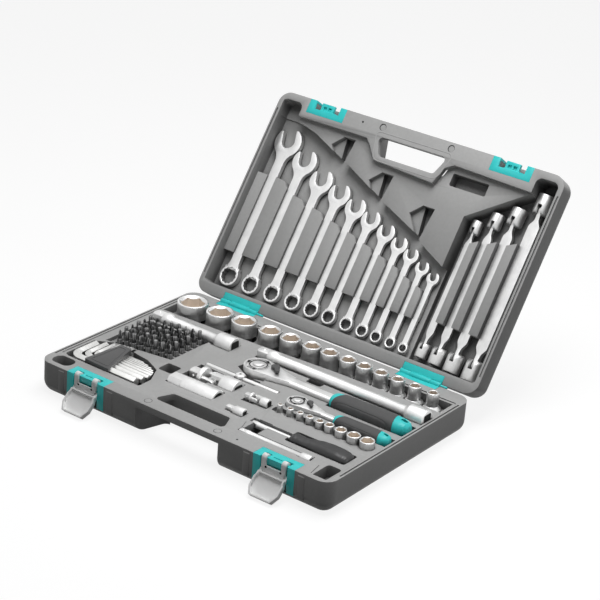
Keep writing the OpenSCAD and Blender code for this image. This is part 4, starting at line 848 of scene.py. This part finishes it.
x, y, drive_width = FIRST_QUARTER_INCH_EDGE, -40, 12
for size, space in QUARTER_INCH:
    width = 1.12 * size + 2.6
    reach = max(width, drive_width) / 2
    x += reach
    socket(f"quarter_inch_socket_{str(size).replace('.', '_')}", "sockets_quarter_inch",
           (x, y, RIM + 7.4), size, width, drive_width, 25, QUARTER_INCH_DRIVE)
    x += reach + space


# ---------- screwdriver bits ----------
# Forty-eight short insert bits that stand in a block of holes, tips up. They are hardened
# steel with a dull grey phosphate coat, worn brighter on the tips' edges.
phosphate = Finish("phosphated_steel", Metallic=0.85)
coat = phosphate.grain(0.0014, detail=4.0)
worn = phosphate.node("ShaderNodeNewGeometry").output("Pointiness").step(0.5, 0.58)
body_tint = coat.mix(neutral(0.03, 0.031), neutral(0.075, 0.077))
phosphate.feed("Base Color", (worn * 0.7).mix(body_tint, neutral(0.5)))
phosphate.feed("Roughness", 0.36 + coat * 0.2)
phosphate.feed("Normal", phosphate.raise_by(coat, 0.00004, 0.5))
BIT_ROUND = 24
BIT_TOP = RIM + 11.5
BIT_FIRST = (-181, -31)
BIT_STEP = (9.8, 11)
ROW_SLANT = 0.16
ROWS, COLUMNS = 6, 8
TIPS = ("cross", "hexagon", "star", "flat")


def cross_reach(angle, wing, web):
    """How far a cross-shaped tip reaches: four wings with hollows between them."""
    return web + (wing - web) * max(0.0, math.cos(4 * angle)) ** 2


def tip_rings(kind, z):
    """Half-widths of a tip, from the neck at z up to its end 8 mm higher."""
    around = turns(BIT_ROUND)
    if kind == "cross":
        shapes = [(2.6, 2.3, 0), (2.5, 1.6, 1.5), (2.3, 1.1, 4.5), (1.3, 0.8, 6.8),
                  (0.7, 0.6, 7.9)]
        return [[(cross_reach(a, w, n), z + h) for a in around] for w, n, h in shapes]
    if kind == "star":
        shapes = [(2.5, 0, 0), (2.35, 0.12, 1.2), (2.35, 0.14, 7.6), (2.1, 0.14, 8)]
        return [[(w * (1 + k * math.cos(6 * a)), z + h) for a in around] for w, k, h in shapes]
    if kind == "hexagon":
        shapes = [(4.4, 0), (4.1, 0.8), (4.1, 7.6), (3.7, 8)]
        return [[(hexagon_reach(w, a), z + h) for a in around] for w, h in shapes]
    shapes = [(2.6, 2.6, 0), (2.7, 1.5, 2), (2.8, 0.8, 5), (2.8, 0.5, 7.8), (2.6, 0.4, 8)]
    return [[(1 / math.hypot(math.cos(a) / w, math.sin(a) / t), z + h) for a in around]
            for w, t, h in shapes]


def bit(kind, x, y, turn):
    """One insert bit, its shank a hexagon and turned by this angle."""
    rings = []
    for width, z in ((5.6, -25), (6.35, -24.4), (6.35, -12.4), (6.0, -11.6)):
        rings.append([(hexagon_reach(width, a), z) for a in turns(BIT_ROUND)])
    rings.append([(2.5, -11.3)] * BIT_ROUND)
    rings += tip_rings(kind, -8)
    return loft([[((x + r * math.cos(a + turn)) * MM, (y + r * math.sin(a + turn)) * MM,
                   (BIT_TOP + z) * MM) for (r, z), a in zip(ring, turns(BIT_ROUND))]
                 for ring in rings])


for row in range(ROWS):
    skins = []
    for column in range(COLUMNS):
        x = BIT_FIRST[0] + column * BIT_STEP[0]
        y = BIT_FIRST[1] + row * BIT_STEP[1] + column * BIT_STEP[0] * ROW_SLANT
        skins.append(bit(TIPS[(column + 2 * row) % len(TIPS)], x, y, 0.4 * column))
    build(f"bits_row_{row + 1}", joined(skins), (phosphate,), "bits", ("bits",), 28)


# ---------- hexagon keys ----------
# Nine bent keys of nickel-plated hexagon bar, held by a black moulded wedge that has a raised
# frame round a bare label field.
nickel = satin("key_nickel", neutral(0.6, 0.59), neutral(0.7, 0.69), 0.36, ACROSS)
dress("hex_keys", nickel, 0.00015)
black = plastic("black_plastic", 0.35, (0.0025, 3.0), (neutral(0.07, 0.071), neutral(0.095, 0.096)),
                (0.4, 0.16), 0.0005, 0.00004)
dress("hex_key_holder", black, 0.0004)
holder_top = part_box("hex_key_holder")[1][2]
label = [Vector((x * MM, y * MM, holder_top))
         for x, y in ((-162.5, -102), (-136, -103), (-149, -55.5), (-159, -55.5))]
bead("key_holder_frame", rounded(label, 2.5 * MM), 0.6 * MM, 0.5 * MM, UP, black, "hex_keys")


# ---------- extension bars and other drive tools ----------
# Turned and blasted steel bars with square drives, universal joints, a sliding T-bar and the
# long spark-plug socket. All have the same even satin plate, with lines round the bars.
bar_plate = satin("drive_tool_chrome", neutral(0.66), neutral(0.75, 0.745), 0.44, -FRONT)
for name in nodes:
    if name.startswith(("extension", "t_bar", "universal", "spark")):
        dress(name, bar_plate)


def squircle(angle, wide, high, power):
    """A point of an oval that is fuller at its corners as power rises."""
    along, up = math.cos(angle), math.sin(angle)
    return (wide * math.copysign(abs(along) ** (2 / power), along),
            high * math.copysign(abs(up) ** (2 / power), up))


def mouth(node, half, power):
    """A dark square or round disc of painted shade that stands for the hollow in the end of a bar
    that lies along X.
    """
    low, high = [Vector(corner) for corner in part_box(node)]
    middle = (low + high) / 2
    section = [squircle(a, half, half, power) for a in turns(48)]
    rings = [[(high.x + out * MM, middle.y + py * MM, middle.z + pz * MM) for py, pz in section]
             for out in (-0.4, 0.06)]
    build(node + "_mouth", loft(rings), (shadow,), node)


# Painted shade: a dark disc at the open end of each bar and of the spark-plug socket.
SQUARE, CIRCLE = 5, 2
for node, half, power in (("extension_half_long", 7.2, SQUARE),
                          ("extension_half_short", 7.2, SQUARE),
                          ("universal_half_socket", 7.2, SQUARE),
                          ("universal_quarter_socket", 3.6, SQUARE),
                          ("extension_quarter_long", 3.4, SQUARE),
                          ("extension_quarter_short", 3.4, SQUARE),
                          ("spark_plug_socket", 9.6, CIRCLE)):
    mouth(node, half, power)


# ---------- ratchets ----------
# Two reversible ratchets. The head and bar are polished, then satin plated; the hub, button
# and lever are separate pieces. The grip is a teal core with a dark moulded sleeve over it.
ratchet_plate = satin("ratchet_chrome", neutral(0.64), neutral(0.74, 0.735), 0.36, ACROSS)
for size in ("half", "quarter"):
    for part in ("body", "drive", "button"):
        dress(f"ratchet_{size}_{part}", ratchet_plate, 0.0004, 3)
    dress(f"ratchet_{size}_lever", black)

# Where each ratchet's drive turns, and the radius of its head.
RATCHETS = (("half", -12, 21.5, 17.5), ("quarter", 74, -15.8, 12.5))
for size, x, y, radius in RATCHETS:
    top = Vector((x * MM, y * MM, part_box(f"ratchet_{size}_body")[1][2]))
    circle = [top + Vector((math.cos(a), math.sin(a), 0)) * (radius * 0.56 + 0.7) * MM
              for a in turns(64)]
    # Painted shade: a thin dark ring round the top of the hub.
    bead(f"ratchet_{size}_hub_shade_ring", circle, 0.7 * MM, 0.15 * MM, UP, shadow, f"ratchet_{size}")
    # Painted shade: three dark discs stand for the screws of the head.
    for number, angle in enumerate((75, 180, 285)):
        a = math.radians(angle)
        spot = top + Vector((math.cos(a), math.sin(a), 0)) * radius * 0.79 * MM
        shade_dot(f"ratchet_{size}_screw_{number + 1}", spot, UP, radius * 0.1,
               f"ratchet_{size}", deep=0.3)

sleeve = plastic("dark_grip_rubber", 0.3, (0.006, 4.0), (neutral(0.07, 0.071), neutral(0.1)),
                 (0.52, 0.14), 0.00045, 0.00005, 0.6)

# Rows of a place along the grip, and its half-width on the far side, on the near side and
# upright, over the grip's radius.
GRIP_SHAPE = [(0.0, 0.56, 0.56, 0.5), (0.008, 0.7, 0.7, 0.62), (0.03, 0.82, 0.82, 0.7),
              (0.1, 0.9, 0.9, 0.76), (0.2, 0.93, 0.93, 0.79), (0.35, 0.93, 0.95, 0.8),
              (0.6, 0.95, 0.97, 0.82), (0.8, 0.96, 0.98, 0.83), (0.9, 0.9, 0.92, 0.8),
              (0.96, 0.72, 0.74, 0.7), (0.99, 0.48, 0.5, 0.52), (1.0, 0.3, 0.3, 0.34)]


def between(table, at):
    """Reads a smooth curve through a table's rows at a place along it."""
    for low, high in zip(table, table[1:]):
        if at <= high[0]:
            t = (at - low[0]) / (high[0] - low[0])
            t = t * t * (3 - 2 * t) * 0.5 + t * 0.5
            return [a + (b - a) * t for a, b in zip(low[1:], high[1:])]
    return table[-1][1:]


PANEL_AT, PANEL_LONG, BUMP_PITCH = 0.44, 0.34, 0.17
PANEL_TURN, PANEL_WIDE = 186, 44


def finger_panel(at, angle):
    """How a sleeve swells or sinks: a sunk line round the finger panel, and bumps inside it."""
    along = abs(at - PANEL_AT) / PANEL_LONG
    around = abs(math.degrees(angle) - PANEL_TURN) / PANEL_WIDE
    reach = (along ** 4 + around ** 4) ** 0.25
    gain = -0.035 * math.exp(-((reach - 1) / 0.045) ** 2)
    if reach < 1:
        bump = math.cos((at - PANEL_AT) * 2 * math.pi / BUMP_PITCH)
        gain += 0.02 * bump * (1 - reach ** 2)
    return gain


def grip_skin(place, start, end, radius, shrink, panel):
    """The skin of a grip along +X, with or without its finger panel."""
    x, y, z = place
    rings = []
    steps = 130
    for i in range(steps + 1):
        at = i / steps
        at = at * 0.94 + 0.06 * (0.5 - 0.5 * math.cos(math.pi * at))
        far, near, high = between(GRIP_SHAPE, at)
        ring = []
        for angle in turns(96):
            wide = far if math.cos(angle) > 0 else near
            py, pz = squircle(angle, wide * radius, high * radius, 2.5)
            scale = (1 + (finger_panel(at, angle) if panel else 0.0)) * shrink
            ring.append(((x + start + (end - start) * at) * MM, (y + py * scale) * MM,
                         (z + pz * scale) * MM))
        rings.append(ring)
    return loft(rings)


def cut(work, point, normal):
    """Cuts a closed mesh off at a plane, on the side that the normal points to."""
    geometry = work.verts[:] + work.edges[:] + work.faces[:]
    made = bmesh.ops.bisect_plane(work, geom=geometry, plane_co=point, plane_no=normal,
                                  clear_outer=True)
    edges = [e for e in made["geom_cut"] if isinstance(e, bmesh.types.BMEdge)]
    bmesh.ops.edgeloop_fill(work, edges=edges)


def carve(made, cutter):
    """Cuts one piece out of another for good."""
    tool = made.modifiers.new("carve", "BOOLEAN")
    tool.object = cutter
    tool.operation = "DIFFERENCE"
    tool.solver = "EXACT"
    bpy.context.view_layer.update()
    graph = bpy.context.evaluated_depsgraph_get()
    mesh = bpy.data.meshes.new_from_object(made.evaluated_get(graph))
    made.modifiers.clear()
    made.data = mesh
    bpy.data.objects.remove(cutter)


def slot_cutter(x, y, z, length, width, height):
    """A long hole's shape, as a loose mesh object."""
    rings = []
    for dz in (-height, height):
        ring = []
        for angle in turns(40):
            side = (length - width) / 2 * (1 if math.cos(angle) > 0 else -1)
            ring.append(((x + side + width / 2 * math.cos(angle)) * MM,
                         (y + width / 2 * math.sin(angle)) * MM, (z + dz) * MM))
        rings.append(ring)
    points, faces, _ = loft(rings)
    return solid("cutter", points, faces)


def grip(size, place, start, end, width):
    """A ratchet's grip, from start to end along +X from the place of the drive. The teal core
    shows at both ends of the dark sleeve."""
    body = f"ratchet_{size}"
    node = f"{body}_grip"
    radius = width / 2
    length = end - start
    x, y, z = place
    core = build(f"{body}_grip_core", grip_skin(place, start, end, radius, 0.945, False),
                 (teal,), body, (node,))
    carve(core, slot_cutter(x + end - length * 0.085, y + radius * 0.12, z, radius * 0.62,
                            radius * 0.34, radius * 1.2))
    over = build(f"{body}_grip_sleeve", grip_skin(place, start, end, radius, 1.0, True),
                 (sleeve,), body, (node,))
    work = bmesh.new()
    work.from_mesh(over.data)
    for at, way, slant in ((0.1, -1, 0.06), (0.815, 1, 0.03)):
        point = Vector((x + start + length * at, y, z)) * MM
        cut(work, point, Vector((way, length * slant / radius, 0)).normalized())
    work.to_mesh(over.data)
    work.free()
    over.data.shade_smooth()
    over.data.set_sharp_from_angle(angle=math.radians(40))


grip("half", (-12, 21.5, 40.65), 109, 215, 28)
grip("quarter", (74, -15.8, 40.75), 54, 128, 20)


# ---------- spinner handle ----------
# A quarter-inch drive shaft in a black moulded handle: a flared front, a waist for the fingers
# and a full rear with four shallow flutes.
glossy_black = plastic("black_moulding", 0.5, (0.008, 4.0),
                       (neutral(0.018, 0.019), neutral(0.032, 0.033)), (0.28, 0.16), 0.0006, 0.00003)

# Rows of a place along the handle, and half its width and height over its radius.
SPINNER_SHAPE = [(0.0, 0.5, 0.45), (0.02, 0.66, 0.62), (0.07, 0.74, 0.72), (0.14, 0.7, 0.66),
                 (0.24, 0.68, 0.6), (0.36, 0.8, 0.74), (0.5, 0.92, 0.88), (0.66, 0.97, 0.95),
                 (0.8, 0.96, 0.94), (0.92, 0.9, 0.86), (0.975, 0.78, 0.74), (1.0, 0.62, 0.58)]
HANDLE_LONG, HANDLE_RADIUS = 80, 12.5
FLUTE_START, FLUTE_END, FLUTE_DEEP = 0.42, 0.9, 0.35
tip_x, y, z = 59, -78, RIM - 6
handle_x = tip_x + 55
steps = 80
rings = []
for i in range(steps + 1):
    at = i / steps
    wide, high = between(SPINNER_SHAPE, at)
    swell = 0.0
    if FLUTE_START < at < FLUTE_END:
        swell = FLUTE_DEEP * math.sin((at - FLUTE_START) / (FLUTE_END - FLUTE_START) * math.pi)
    ring = []
    for angle in turns(72):
        py, pz = squircle(angle, wide * HANDLE_RADIUS, high * HANDLE_RADIUS,
                          2.0 + 1.4 * min(1, at * 3))
        fade = 1 - swell * max(0.0, math.cos(4 * angle)) ** 6 / HANDLE_RADIUS
        ring.append(((handle_x + HANDLE_LONG * at) * MM, (y + py * fade) * MM,
                     (z + pz * fade) * MM))
    rings.append(ring)
build("spinner_grip", loft(rings), (glossy_black,), "spinner_handle", ("spinner_handle",))

# Rows of a place along the shaft, its radius there, and a square or a round section.
SHARP_SQUARE = 8
SHAFT = [(0.0, 2.6, SHARP_SQUARE), (0.3, 3.0, SHARP_SQUARE), (1.0, 3.17, SHARP_SQUARE),
         (7.0, 3.17, SHARP_SQUARE), (7.6, 3.17, SHARP_SQUARE), (7.65, 3.9, CIRCLE),
         (9.4, 3.9, CIRCLE), (9.8, 3.6, CIRCLE), (56.0, 3.6, CIRCLE)]
rings = []
for dx, radius, power in SHAFT:
    section = [squircle(a, radius, radius, power) for a in turns(48)]
    rings.append([((tip_x + dx) * MM, (y + py) * MM, (z + pz) * MM) for py, pz in section])
build("spinner_shaft", loft(rings), (bar_plate,), "spinner_handle", ("spinner_handle",))


# ---------- size ----------
# The box round all the pieces that render, leaving out the table.
low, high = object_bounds()
